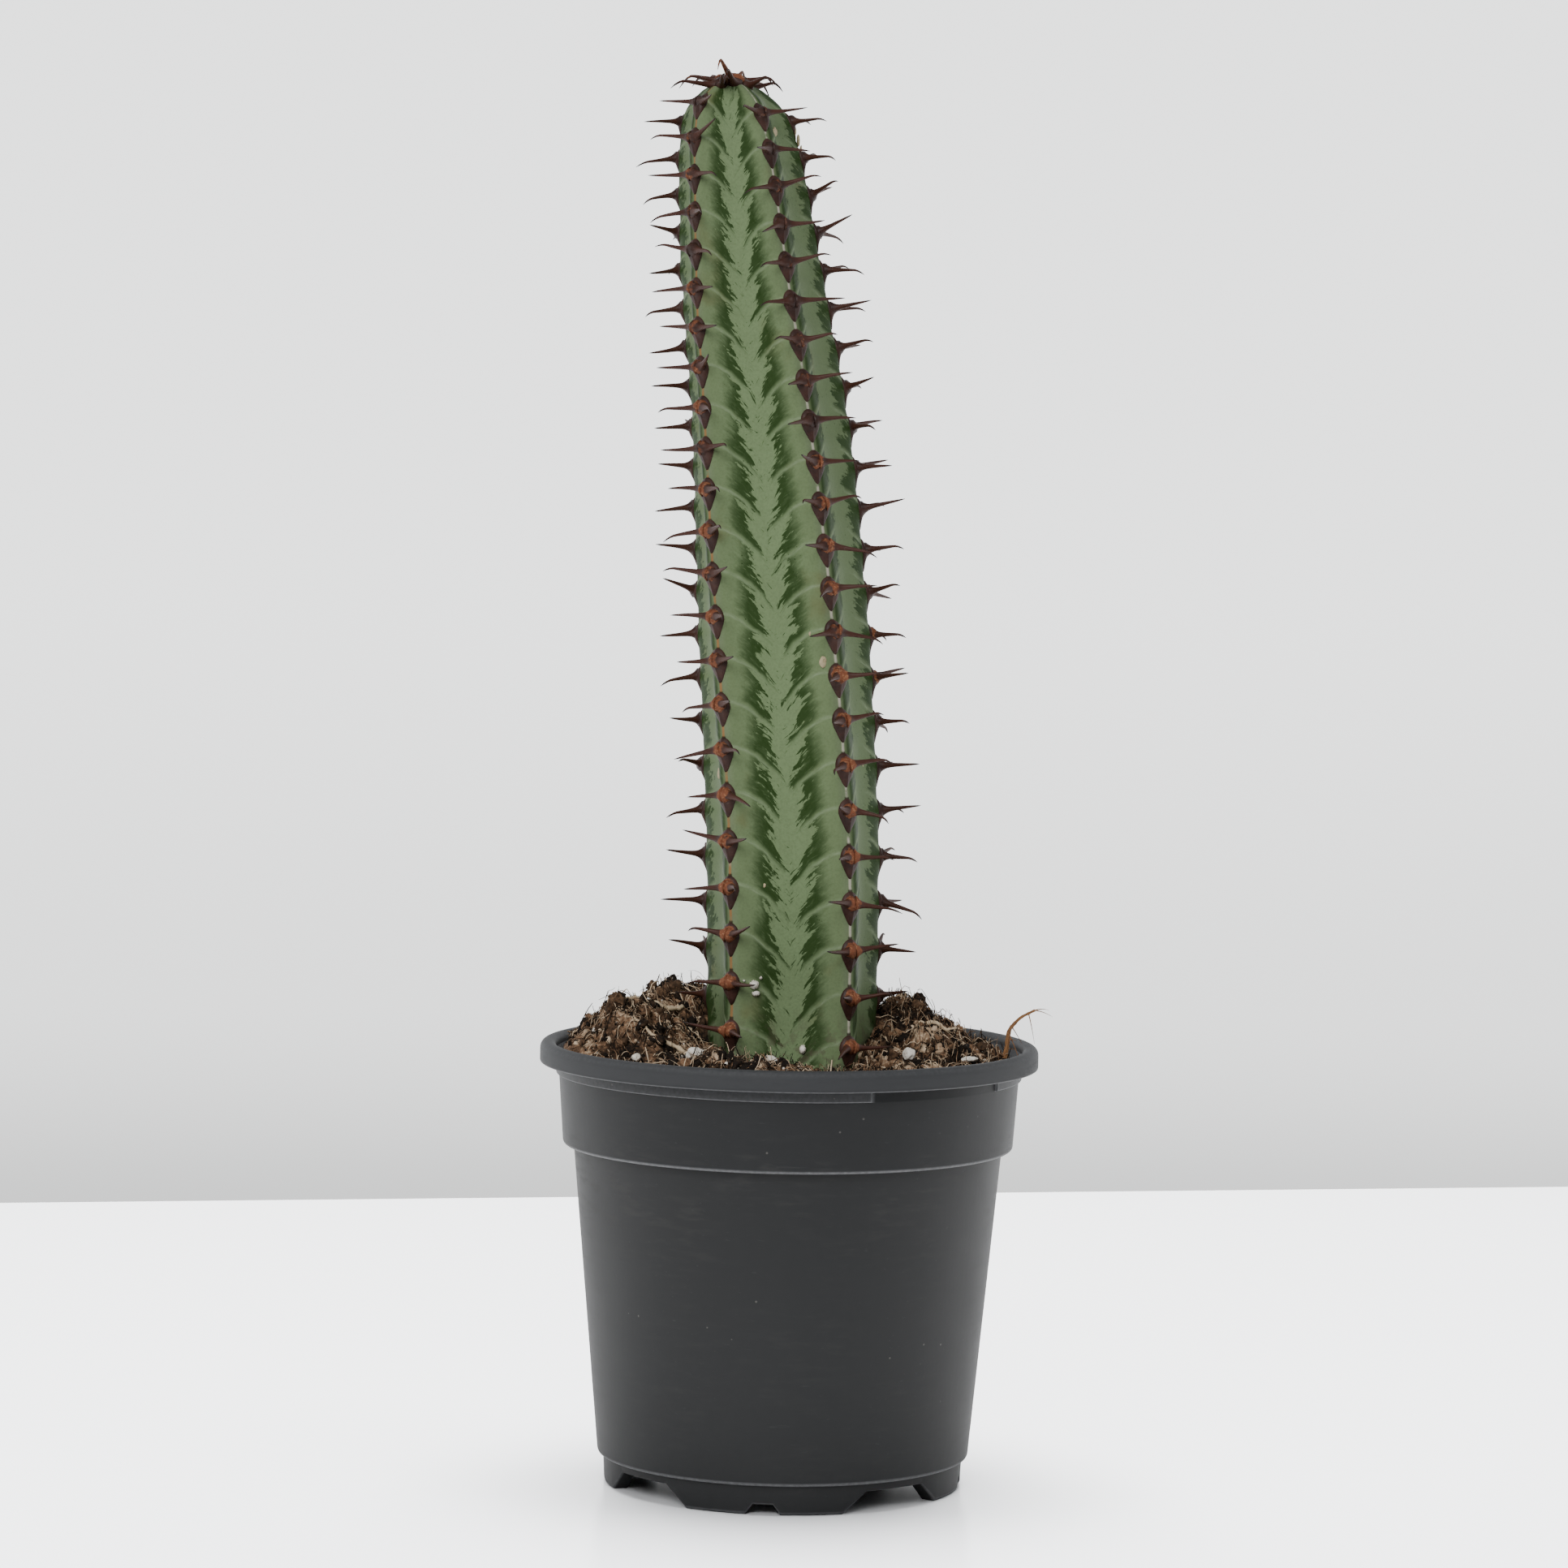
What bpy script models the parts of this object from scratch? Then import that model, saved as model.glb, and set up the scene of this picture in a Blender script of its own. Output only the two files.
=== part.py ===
"""A columnar euphorbia with five spiny ribs, potted in a round nursery pot of heaped peat.

Metres, +Z up. The origin is on the floor at the centre of the pot; the plant's widest face looks
along -Y. Angles around the pot and the stem are azimuths in degrees, 0 at -Y and 90 at +X.
"""

import math
import random

import bmesh
import bpy
from mathutils import Matrix, Vector

# Clearance between two pieces that touch, small chamfers, and how far a cutter reaches past.
GAP = 0.0003
CHAMFER = 0.0003
CUT_PAST = 0.0005

# Nursery pot: the rim, the collar under it, the tapered body and the feet.
POT_HEIGHT = 0.1244
RIM_RADIUS = 0.070
LIP_WIDTH = 0.0046
LIP_HEIGHT = 0.0058
LIP_ROUND = 0.0026
LIP_SKIN = 0.0013
WALL = 0.0012
COLLAR_INSET = 0.0054
COLLAR_TAPER = 0.0014
COLLAR_HEIGHT = 0.0287
STEP_WIDTH = 0.0030
BODY_TAPER = 0.0080
EDGE_ROUND = 0.0012
BASE_ROUND = 0.0016
FOOT_HEIGHT = 0.0082
FOOT_GAP_HEIGHT = 0.0059
FOOT_THICKNESS = 0.0050
FOOT_COUNT = 4
FOOT_AZIMUTH = -6.0
FOOT_HALF_ANGLE_TOP = 33.6
FOOT_HALF_ANGLE_BOTTOM = 25.6
NOTCH_WIDTH_TOP = 0.0054
NOTCH_WIDTH_BOTTOM = 0.0093
NOTCH_HEIGHT = 0.0028
DRAIN_RADIUS = 0.0045
DRAIN_SHARE = 0.74
DRAIN_SIDES = 16
CENTRE_DRAIN_RADIUS = 0.0060
POT_STEPS = 64

# Stop band under the lip, broken by two gaps so that stacked pots come apart. A trace of it
# stays in the gaps.
BAND_THICKNESS = 0.0008
BAND_HEIGHT = 0.0032
BAND_TRACE = 0.00005
BAND_GAPS = ((20.0, 61.5), (200.0, 241.5))

# Peat: its level under the rim and how it sinks at the wall. A spot on it is an azimuth and
# the share of the way from the stem to the wall. Its heaps are (azimuth, share, rise, spread).
PEAT_DROP = 0.0062
PEAT_EDGE_SINK = 0.0010
PEAT_EDGE_SPREAD = 0.0030
PEAT_HEAPS = (
    (-128.7, 0.335, 0.0190, 0.0135),
    (-85.0, 0.544, 0.0150, 0.0120),
    (115.8, 0.227, 0.0165, 0.0110),
    (85.1, 0.571, 0.0050, 0.0120),
    (-22.8, 0.411, 0.0045, 0.0130),
    (177.5, 0.540, 0.0085, 0.0150),
)
PEAT_RINGS = 14
SOCKET_ROOM = 0.0025
SOCKET_MOUTH = 0.0040

# Stem: its length and how much of it is buried. Stations are (share of the length, value).
STEM_LENGTH = 0.296
STEM_BURIED = 0.0222
STEM_RADIUS = 0.0264
LEAN = ((0.0, 0.0004), (0.155, 0.0003), (0.311, -0.0007), (0.541, -0.0056),
        (0.693, -0.0097), (0.807, -0.0144), (0.882, -0.0169), (0.953, -0.0193),
        (1.0, -0.0209))
GIRTH = ((0.0, 0.795), (0.027, 0.932), (0.155, 0.985), (0.311, 1.0), (0.541, 0.973),
         (0.693, 0.902), (0.807, 0.826), (0.882, 0.758), (0.922, 0.708), (0.953, 0.644),
         (0.978, 0.519), (0.993, 0.303), (1.0, 0.114))
TWIST = ((0.0, -1.0), (0.155, -1.0), (0.311, -2.3), (0.541, -6.0), (0.693, -8.5),
         (0.882, -6.5), (1.0, -6.0))
FRONT_HALF_ANGLE = ((0.0, 41.5), (0.311, 41.0), (0.693, 40.0), (0.882, 37.5), (1.0, 36.0))
RIB_NAMES = ("front_left", "front_right", "right", "back", "left")
RIB_COUNT = len(RIB_NAMES)
FACE_HOLLOW = 0.0022
FULL_RADIUS = 0.020
CREST_ROUND = 0.0010
CREST_SPREAD = 0.05
FACE_COLUMNS = (0.0, 0.09, 0.28, 0.5, 0.72, 0.91)
RING_SPACING = 0.0070
CROWN_HEIGHT = 0.018
CROWN_RINGS = (0.25, 0.44, 0.64, 0.79, 0.91)

# Podaria: the front left rib's lowest one above the peat, the pitch there, how fast it shrinks
# upwards, each rib's phase, and what stays bare at the foot and the tip.
FIRST_PODARIUM = 0.0104
PODARIUM_PITCH = 0.0136
PITCH_DECAY = 0.0143
RIB_PHASE = (0.0, -0.29, -0.42, 0.25, -0.46)
BARE_FOOT = 0.0072
BARE_TIP = 0.0065

# Horny shields on the rib crests, with their parts above and below as shares of the pitch, and
# the pair of spines on each.
SHIELD_HALF_WIDTH = 0.0030
MARGIN_HALF_WIDTH = 0.0007
SHIELD_THICKNESS = 0.0010
SHIELD_LIFT = 0.00066
SHIELD_EDGE_LIFT = 0.00086
SHIELD_BELOW = 0.42
SHIELD_FACE_BELOW = 0.10
SHIELD_FACE_ABOVE = 0.12
SHIELD_ABOVE = 0.32
SPINE_LENGTH = 0.0122
SPINE_SPREAD = 60.0
SPINE_TAPER = 0.34
SPINE_TIP = 0.1
SPINE_KNEE = 0.22
SPINE_RISE = 0.06

# Loose pieces on the peat, as (azimuth, share, length, width, height, turn).
PERLITE = (
    (-40.5, 0.362, 0.0058, 0.0044, 0.0040, 35.0),
    (-9.3, 0.201, 0.0036, 0.0028, 0.0026, 10.0),
    (68.5, 0.255, 0.0050, 0.0036, 0.0034, 70.0),
    (71.1, 0.715, 0.0044, 0.0032, 0.0016, 0.0),
    (-57.3, 0.645, 0.0030, 0.0024, 0.0022, 50.0),
    (155.6, 0.602, 0.0042, 0.0034, 0.0030, 120.0),
)
BARK_CHIPS = (
    (37.1, 0.819, 0.0060, 0.0032, 0.0015, 20.0),
    (-140.3, 0.735, 0.0080, 0.0042, 0.0017, 75.0),
    (123.4, 0.720, 0.0070, 0.0040, 0.0016, 130.0),
)
PERLITE_ROUGHNESS = 0.10
BARK_ROUGHNESS = 0.16

# Bare roots that lie on the heaps, as runs of (azimuth, share), and a dry fibre that stands up
# beside the rim, as points out from and above its foot.
ROOTS = (
    ((-56.3, 0.174), (-62.7, 0.240), (-64.1, 0.348), (-69.0, 0.425), (-73.2, 0.510)),
    ((-104.9, 0.136), (-98.6, 0.199), (-94.8, 0.273), (-92.9, 0.379), (-87.5, 0.513),
     (-82.9, 0.603)),
    ((93.2, 0.271), (95.7, 0.383), (93.9, 0.488), (97.1, 0.603)),
)
ROOT_RADIUS = 0.00055
ROOT_LIFT = 1.9
ROOT_TAPER = 0.6
ROOT_STEPS = 3
TWIG_FOOT = (84.3, 0.925)
TWIG_RISE = ((0.0000, 0.0), (0.0006, 0.0040), (0.0010, 0.0085), (0.0042, 0.0120),
             (0.0082, 0.0140))
TWIG_RADIUS = 0.0007
TWIG_TAPER = 0.6

COLOURS = {
    "pot": ((0.035, 0.038, 0.041), 0.50),
    "peat": ((0.070, 0.045, 0.028), 0.95),
    "stem": ((0.130, 0.200, 0.105), 0.60),
    "horn": ((0.060, 0.030, 0.026), 0.55),
    "perlite": ((0.700, 0.680, 0.640), 0.90),
    "bark": ((0.260, 0.130, 0.060), 0.85),
    "root": ((0.420, 0.300, 0.180), 0.80),
}


# ---------------------------------------------------------------- helpers

def along(stations, height):
    """A smooth curve through the stem's stations, read at a height above the floor."""
    share = (height - stem_foot()) / STEM_LENGTH
    if share <= stations[0][0]:
        return stations[0][1]
    if share >= stations[-1][0]:
        return stations[-1][1]
    k = next(i for i in range(len(stations) - 1) if stations[i + 1][0] >= share)

    def slope(i):
        low, high = max(i - 1, 0), min(i + 1, len(stations) - 1)
        return (stations[high][1] - stations[low][1]) / (stations[high][0] - stations[low][0])

    (s0, v0), (s1, v1) = stations[k], stations[k + 1]
    span = s1 - s0
    t = (share - s0) / span
    return ((2 * t**3 - 3 * t**2 + 1) * v0 + (t**3 - 2 * t**2 + t) * span * slope(k)
            + (3 * t**2 - 2 * t**3) * v1 + (t**3 - t**2) * span * slope(k + 1))


def peat_level():
    return POT_HEIGHT - PEAT_DROP


def stem_foot():
    return peat_level() - STEM_BURIED


def towards(azimuth, radius=1.0, z=0.0):
    """The point at an azimuth and radius from the Z axis."""
    angle = math.radians(azimuth)
    return Vector((radius * math.sin(angle), -radius * math.cos(angle), z))


def material(name):
    colour, roughness = COLOURS[name]
    made = bpy.data.materials.get(name) or bpy.data.materials.new(name)
    made.use_nodes = True
    shader = made.node_tree.nodes["Principled BSDF"]
    shader.inputs["Base Color"].default_value = (*colour, 1.0)
    shader.inputs["Roughness"].default_value = roughness
    return made


def add_object(name, data, collection, finish=None):
    made = bpy.data.objects.new(name, data)
    collection.objects.link(made)
    if finish:
        data.materials.append(material(finish))
    return made


def add_cutter(name, data, collection):
    made = add_object(name, data, collection)
    made.hide_render = True
    made.display_type = "WIRE"
    return made


def mesh_from(bm, name):
    bmesh.ops.recalc_face_normals(bm, faces=bm.faces)
    if bm.calc_volume(signed=True) < 0:
        bmesh.ops.reverse_faces(bm, faces=bm.faces)
    mesh = bpy.data.meshes.new(name)
    bm.to_mesh(mesh)
    bm.free()
    return mesh


def turned(name, outline, steps, collection, finish):
    """An outline of (radius, height) points turned about Z, closed unless it ends on Z."""
    mesh = bpy.data.meshes.new(name)
    points = [(r, 0.0, z) for r, z in outline]
    edges = [(i, i + 1) for i in range(len(points) - 1)]
    if outline[-1][0] > 0:
        edges.append((len(points) - 1, 0))
    mesh.from_pydata(points, edges, [])
    made = add_object(name, mesh, collection, finish)
    screw = made.modifiers.new("turn", "SCREW")
    screw.steps = screw.render_steps = steps
    screw.use_merge_vertices = True
    screw.merge_threshold = 1e-5
    screw.use_smooth_shade = True
    return made


def loft(rings):
    """Skin of equal closed rings, capped at both ends."""
    bm = bmesh.new()
    rows = [[bm.verts.new(p) for p in ring] for ring in rings]
    count = len(rings[0])
    for low, high in zip(rows, rows[1:]):
        for k in range(count):
            bm.faces.new((low[k], low[(k + 1) % count], high[(k + 1) % count], high[k]))
    bm.faces.new(rows[0])
    bm.faces.new(rows[-1])
    return bm


# ---------------------------------------------------------------- pot

def lip_points():
    """The lip's round top, from its inner edge over to its outer edge."""
    inner = RIM_RADIUS - LIP_WIDTH
    points = []
    for k in range(6):
        angle = math.radians(180 - 36 * k)
        points.append((inner + LIP_WIDTH / 2 * (1 + math.cos(angle)),
                       POT_HEIGHT - LIP_ROUND * (1 - math.sin(angle))))
    return points


def lip_bottom():
    return POT_HEIGHT - LIP_HEIGHT


def step_height():
    return POT_HEIGHT - COLLAR_HEIGHT


def collar_top_radius():
    return RIM_RADIUS - COLLAR_INSET


def collar_bottom_radius():
    return collar_top_radius() - COLLAR_TAPER


def body_top_radius():
    return collar_bottom_radius() - STEP_WIDTH


def base_radius():
    return body_top_radius() - BODY_TAPER


def foot_radius():
    return base_radius() - BASE_ROUND


def round_edge(radius, height, size):
    """Down round an outer edge that turns in to a flat underside."""
    flat = 0.3 * size
    return [(radius, height + size), (radius - flat, height + flat), (radius - size, height)]


def pot_outline():
    """Down the outer side from the lip, across the foot ring and base, and up the inside."""
    step, foot, band = step_height(), foot_radius(), collar_top_radius() + BAND_THICKNESS
    band_bottom = lip_bottom() - BAND_HEIGHT
    outer = lip_points() + [
        (RIM_RADIUS - CHAMFER, lip_bottom() + CHAMFER),
        (RIM_RADIUS - LIP_SKIN / 2, lip_bottom()),
        (RIM_RADIUS - LIP_SKIN, lip_bottom() + CHAMFER),
        (RIM_RADIUS - LIP_SKIN - CHAMFER, POT_HEIGHT - LIP_ROUND),
        (RIM_RADIUS - LIP_WIDTH + LIP_SKIN, POT_HEIGHT - LIP_ROUND),
        (band, lip_bottom() + CHAMFER),
        (band, band_bottom),
        (collar_top_radius(), band_bottom - CHAMFER),
        *round_edge(collar_bottom_radius(), step, EDGE_ROUND),
        (body_top_radius() + CHAMFER, step - CHAMFER),
        (body_top_radius(), step - EDGE_ROUND),
        *round_edge(base_radius(), FOOT_HEIGHT, BASE_ROUND),
        (foot - CHAMFER, CHAMFER),
        (foot - 2 * CHAMFER, 0.0),
        (foot - FOOT_THICKNESS, 0.0),
        (foot - FOOT_THICKNESS, FOOT_HEIGHT),
        (CENTRE_DRAIN_RADIUS, FOOT_HEIGHT),
        (CENTRE_DRAIN_RADIUS, FOOT_HEIGHT + WALL),
    ]
    return outer + [(radius, z) for z, radius in inner_turns()]


def inner_turns():
    """The (height, radius) points where the pot's inner wall turns, from the base up."""
    floor, step = FOOT_HEIGHT + WALL, step_height()
    return ((floor, base_radius() - WALL - EDGE_ROUND), (floor + EDGE_ROUND, base_radius() - WALL),
            (step - CHAMFER, body_top_radius() - WALL),
            (step + 1.5 * WALL, collar_bottom_radius() - WALL),
            (lip_bottom(), collar_top_radius() - WALL))


def inner_radius(z):
    """Radius of the inner wall at a height, a wall inside the outer one."""
    turns = inner_turns()
    for (z0, r0), (z1, r1) in zip(turns, turns[1:]):
        if z <= z1:
            return r0 + (r1 - r0) * max(0.0, z - z0) / (z1 - z0)
    return turns[-1][1]


def wedge(width_top, width_bottom, bottom, top, depth, azimuth, radius):
    """A block across the foot ring, wider at its foot, centred on a radius."""
    bm = bmesh.new()
    bmesh.ops.create_cube(bm, size=1.0)
    for vert in bm.verts:
        width = width_top if vert.co.z > 0 else width_bottom
        vert.co = Vector((vert.co.x * width, vert.co.y * depth, top if vert.co.z > 0 else bottom))
    bm.transform(Matrix.Translation(towards(azimuth, radius))
                 @ Matrix.Rotation(math.radians(azimuth), 4, "Z"))
    return bm


def foot_cutters(collection):
    pitch = 360.0 / FOOT_COUNT
    depth = 2.2 * FOOT_THICKNESS
    radius = foot_radius() - FOOT_THICKNESS / 2
    for k in range(FOOT_COUNT):
        foot = FOOT_AZIMUTH + pitch * k
        between = foot + pitch / 2
        gap_top, gap_bottom = (2 * foot_radius() * math.sin(math.radians(pitch / 2 - half))
                               for half in (FOOT_HALF_ANGLE_TOP, FOOT_HALF_ANGLE_BOTTOM))
        gap = wedge(gap_top, gap_bottom, -CUT_PAST, FOOT_GAP_HEIGHT, depth, between, radius)
        add_cutter(f"foot_gap_{k + 1}", mesh_from(gap, "foot_gap"), collection)
        notch = wedge(NOTCH_WIDTH_TOP, NOTCH_WIDTH_BOTTOM, -CUT_PAST, NOTCH_HEIGHT, depth, foot,
                      radius)
        add_cutter(f"notch_{k + 1}", mesh_from(notch, "notch"), collection)
        drain = bmesh.new()
        bmesh.ops.create_cone(drain, cap_ends=True, segments=DRAIN_SIDES, radius1=DRAIN_RADIUS,
                              radius2=DRAIN_RADIUS, depth=5 * WALL)
        drain.transform(Matrix.Translation(
            towards(between, DRAIN_SHARE * foot_radius(), FOOT_HEIGHT)))
        add_cutter(f"drain_{k + 1}", mesh_from(drain, "drain"), collection)


def facet_share(azimuth):
    """How far the pot's flat facets lie inside its true circle at an azimuth."""
    facet = math.radians(360.0 / POT_STEPS)
    turned_by = math.radians(azimuth - 90.0) % facet
    return math.cos(facet / 2) / math.cos(turned_by - facet / 2)


def band_cutters(collection):
    """Sectors that take the stop band off the collar at its gaps, along the pot's facets."""
    low, high = lip_bottom() - BAND_HEIGHT - CUT_PAST, lip_bottom() + CUT_PAST
    inner, outer = collar_top_radius() + BAND_TRACE, RIM_RADIUS - LIP_SKIN - 2 * CHAMFER
    facet = 360.0 / POT_STEPS
    for number, (start, end) in enumerate(BAND_GAPS, 1):
        first = math.floor((start - 90.0) / facet) + 1
        last = math.ceil((end - 90.0) / facet)
        azimuths = [start] + [90.0 + facet * k for k in range(first, last)] + [end]
        sections = [[towards(a, r * facet_share(a), z) for r, z in
                     ((inner, low), (outer, low), (outer, high), (inner, high))]
                    for a in azimuths]
        add_cutter(f"band_gap_{number}", mesh_from(loft(sections), "band_gap"),
                   collection)


def make_pot(parts, cutters):
    pot = turned("nursery_pot", pot_outline(), POT_STEPS, parts, "pot")
    foot_cutters(cutters)
    band_cutters(cutters)
    cut = pot.modifiers.new("feet, drains and band", "BOOLEAN")
    cut.operand_type = "COLLECTION"
    cut.collection = cutters
    cut.operation = "DIFFERENCE"
    cut.solver = "EXACT"
    return pot


# ---------------------------------------------------------------- stem

def rib_azimuths(height):
    """Azimuths of the five ribs: the front face is wider than the other four."""
    turn, half = along(TWIST, height), along(FRONT_HALF_ANGLE, height)
    other = (360.0 - 2 * half) / (RIB_COUNT - 1)
    return [turn - half] + [turn + half + other * k for k in range(RIB_COUNT - 1)]


def podarium_height(rib, number):
    """Height of a podarium's shield on its rib, counted from the lowest."""
    count = number + RIB_PHASE[rib]
    climbed = PODARIUM_PITCH / PITCH_DECAY * (1 - math.exp(-PITCH_DECAY * count))
    return peat_level() + FIRST_PODARIUM + climbed


def rib_radius(height):
    return STEM_RADIUS * along(GIRTH, height)


def stem_centre(height):
    return Vector((along(LEAN, height), 0.0, height))


def crest(rib, height):
    radius = rib_radius(height) + CREST_ROUND
    return stem_centre(height) + towards(rib_azimuths(height)[rib], radius)


def surface(rib, share, height, offset=0.0):
    """A point on the stem between one rib's crest (share 0) and the next one's (share 1).

    A negative share is on the face before the rib. The offset stands off the surface."""
    if share < 0:
        rib, share = (rib - 1) % RIB_COUNT, 1 + share
    following = (rib + 1) % RIB_COUNT
    start, end = crest(rib, height), crest(following, height)
    centre = stem_centre(height)
    size = min(1.0, rib_radius(height) / FULL_RADIUS)
    point = start.lerp(end, share)
    face_out = ((start + end) / 2 - centre).normalized()
    point -= face_out * FACE_HOLLOW * size * math.sin(math.pi * share) ** 2
    for near, distance in ((rib, share), (following, 1 - share)):
        out = (crest(near, height) - centre).normalized()
        corner = math.exp(-((distance / CREST_SPREAD) ** 2))
        point += out * (offset - size * CREST_ROUND) * corner - face_out * offset * corner
    return point + face_out * offset


def stem_heights():
    """Ring heights: evenly up the column, closer together in the round crown."""
    column = STEM_LENGTH - CROWN_HEIGHT
    count = round(column / RING_SPACING)
    rises = [column * k / count for k in range(count + 1)]
    rises += [column + CROWN_HEIGHT * share for share in CROWN_RINGS] + [STEM_LENGTH]
    return [stem_foot() + rise for rise in rises]


def stem_ring(height, offset=0.0):
    return [surface(rib, share, height, offset)
            for rib in range(RIB_COUNT) for share in FACE_COLUMNS]


def make_stem(parts):
    bm = loft([stem_ring(h) for h in stem_heights()])
    stem = add_object("euphorbia_stem", mesh_from(bm, "euphorbia_stem"), parts, "stem")
    stem.data.shade_smooth()
    return stem


# ---------------------------------------------------------------- spine rows

def rib_podaria(rib):
    """Numbers of the podaria on a rib, from just clear of the peat to just under the tip."""
    numbers = range(round(STEM_LENGTH / PODARIUM_PITCH) * 2)
    clear = []
    for number in numbers:
        height = podarium_height(rib, number)
        if height > stem_foot() + STEM_LENGTH - BARE_TIP:
            break
        foot = crest(rib, height)
        if height > peat_height(foot.x, foot.y) + BARE_FOOT:
            clear.append(number)
    return clear


def row_stations(rib):
    """Heights along a rib's horny margin with the half width there and its podarium."""
    stations = []
    for number in rib_podaria(rib):
        middle = podarium_height(rib, number)
        below = middle - podarium_height(rib, number - 1)
        above = podarium_height(rib, number + 1) - middle
        stations += [
            (middle - SHIELD_BELOW * below, MARGIN_HALF_WIDTH, None),
            (middle - SHIELD_FACE_BELOW * below, SHIELD_HALF_WIDTH, number),
            (middle + SHIELD_FACE_ABOVE * above, SHIELD_HALF_WIDTH, None),
            (middle + SHIELD_ABOVE * above, MARGIN_HALF_WIDTH, None),
        ]
    return stations


def row_section(rib, height, half_width):
    """Left edge, top, right edge and underside of the margin at a height."""
    start, end = crest(rib, height), crest((rib + 1) % RIB_COUNT, height)
    share = half_width / (end - start).length
    left = surface(rib, -share, height, SHIELD_EDGE_LIFT)
    right = surface(rib, share, height, SHIELD_EDGE_LIFT)
    return [left, surface(rib, 0.0, height, SHIELD_LIFT + SHIELD_THICKNESS), right,
            surface(rib, 0.0, height, SHIELD_LIFT)]


def grow_spine(bm, face, out, side):
    """Draw a face of the shield out into a bent, pointed spine."""
    direction = (out * math.cos(math.radians(SPINE_SPREAD))
                 + side * math.sin(math.radians(SPINE_SPREAD))).normalized()
    root = face.calc_center_median()
    for reach, taper, rise in ((SPINE_KNEE, SPINE_TAPER, 0.0), (1.0, SPINE_TIP, SPINE_RISE)):
        end = root + (direction * reach + Vector((0, 0, rise))) * SPINE_LENGTH
        face = bmesh.ops.extrude_discrete_faces(bm, faces=[face])["faces"][0]
        middle = face.calc_center_median()
        for vert in face.verts:
            vert.co = end + (vert.co - middle) * taper
    bmesh.ops.collapse(bm, edges=list(face.edges), uvs=False)


def make_spine_row(parts, rib):
    stations = row_stations(rib)
    sections = [row_section(rib, height, width) for height, width, _ in stations]
    bm = loft(sections)
    bm.faces.ensure_lookup_table()
    sides = len(sections[0])
    picked = []
    for index, (height, _, number) in enumerate(stations):
        if number is None:
            continue
        out = (crest(rib, height) - stem_centre(height)).normalized()
        left = Vector((out.y, -out.x, 0.0))
        picked.append((bm.faces[index * sides], out, left))
        picked.append((bm.faces[index * sides + 1], out, -left))
    for face, out, side in picked:
        grow_spine(bm, face, out, side)
    name = f"spine_row_{RIB_NAMES[rib]}"
    return add_object(name, mesh_from(bm, name), parts, "horn")


# ---------------------------------------------------------------- peat and loose pieces

def spot(azimuth, share):
    """The (x, y) of a spot on the peat between the stem and the wall."""
    radius = STEM_RADIUS + share * (inner_radius(peat_level()) - STEM_RADIUS)
    return towards(azimuth, radius).to_2d()


def peat_height(x, y):
    """Height of the peat: its level, its heaps, and the way it sinks at the wall."""
    height = peat_level()
    for azimuth, share, rise, spread in PEAT_HEAPS:
        away = Vector((x, y)) - spot(azimuth, share)
        height += rise * math.exp(-away.length_squared / (2 * spread**2))
    edge = inner_radius(peat_level()) - math.hypot(x, y)
    return height - PEAT_EDGE_SINK * math.exp(-edge / PEAT_EDGE_SPREAD)


def make_socket(cutters):
    """The room the stem and its lowest shields take in the peat, up past every heap."""
    mouth = peat_level() - SOCKET_MOUTH
    top = peat_level() + sum(rise for _, _, rise, _ in PEAT_HEAPS)
    rings = [[point - Vector((0, 0, GAP)) for point in stem_ring(stem_foot(), GAP)]]
    rings += [stem_ring(height, GAP if height < mouth else SOCKET_ROOM)
              for height in stem_heights()[1:] if height < top]
    return add_cutter("stem_socket", mesh_from(loft(rings), "stem_socket"), cutters)


def make_peat(parts, cutters):
    side = [(radius - GAP, z) for z, radius in inner_turns() if z < lip_bottom()]
    side[0] = (side[0][0], side[0][1] + GAP)
    rim = inner_radius(peat_level()) - GAP
    top = [(rim * k / PEAT_RINGS, POT_HEIGHT) for k in range(PEAT_RINGS + 1)]
    outline = top + side[::-1] + [(0.0, side[0][1])]
    peat = turned("potting_soil", outline, POT_STEPS, parts, "peat")
    peat.data = bpy.data.meshes.new_from_object(
        peat.evaluated_get(bpy.context.evaluated_depsgraph_get()))
    peat.modifiers.clear()
    for vert in peat.data.vertices:
        if vert.co.z > POT_HEIGHT - CHAMFER:
            vert.co.z = peat_height(vert.co.x, vert.co.y)
    socket = peat.modifiers.new("stem socket", "BOOLEAN")
    socket.object = make_socket(cutters)
    socket.operation = "DIFFERENCE"
    socket.solver = "EXACT"
    return peat


def make_grain(name, place, roughness, seed, parts, finish):
    """A rough pebble or flake, lowered onto the peat until its lowest part is a gap clear."""
    azimuth, share, length, width, height, turn = place
    x, y = spot(azimuth, share)
    rng = random.Random(seed)
    bm = bmesh.new()
    bmesh.ops.create_icosphere(bm, subdivisions=2, radius=0.5)
    for vert in bm.verts:
        vert.co *= 1 + roughness * rng.uniform(-1, 1)
    bm.transform(Matrix.Rotation(math.radians(turn), 4, "Z")
                 @ Matrix.Diagonal((length, width, height, 1.0)))
    made = add_object(name, mesh_from(bm, name), parts, finish)
    lift = max(peat_height(x + v.co.x, y + v.co.y) - v.co.z for v in made.data.vertices)
    made.location = (x, y, lift + 2 * GAP)
    return made


def make_tube(name, points, radii, parts, finish):
    """A POLY curve with a bevel and filled caps, thinner where its radii say."""
    curve = bpy.data.curves.new(name, "CURVE")
    curve.dimensions = "3D"
    curve.bevel_depth = 1.0
    curve.bevel_resolution = 2
    curve.use_fill_caps = True
    spline = curve.splines.new("POLY")
    spline.points.add(len(points) - 1)
    for point, co, radius in zip(spline.points, points, radii):
        point.co = (*co, 1.0)
        point.radius = radius
    return add_object(name, curve, parts, finish)


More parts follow.
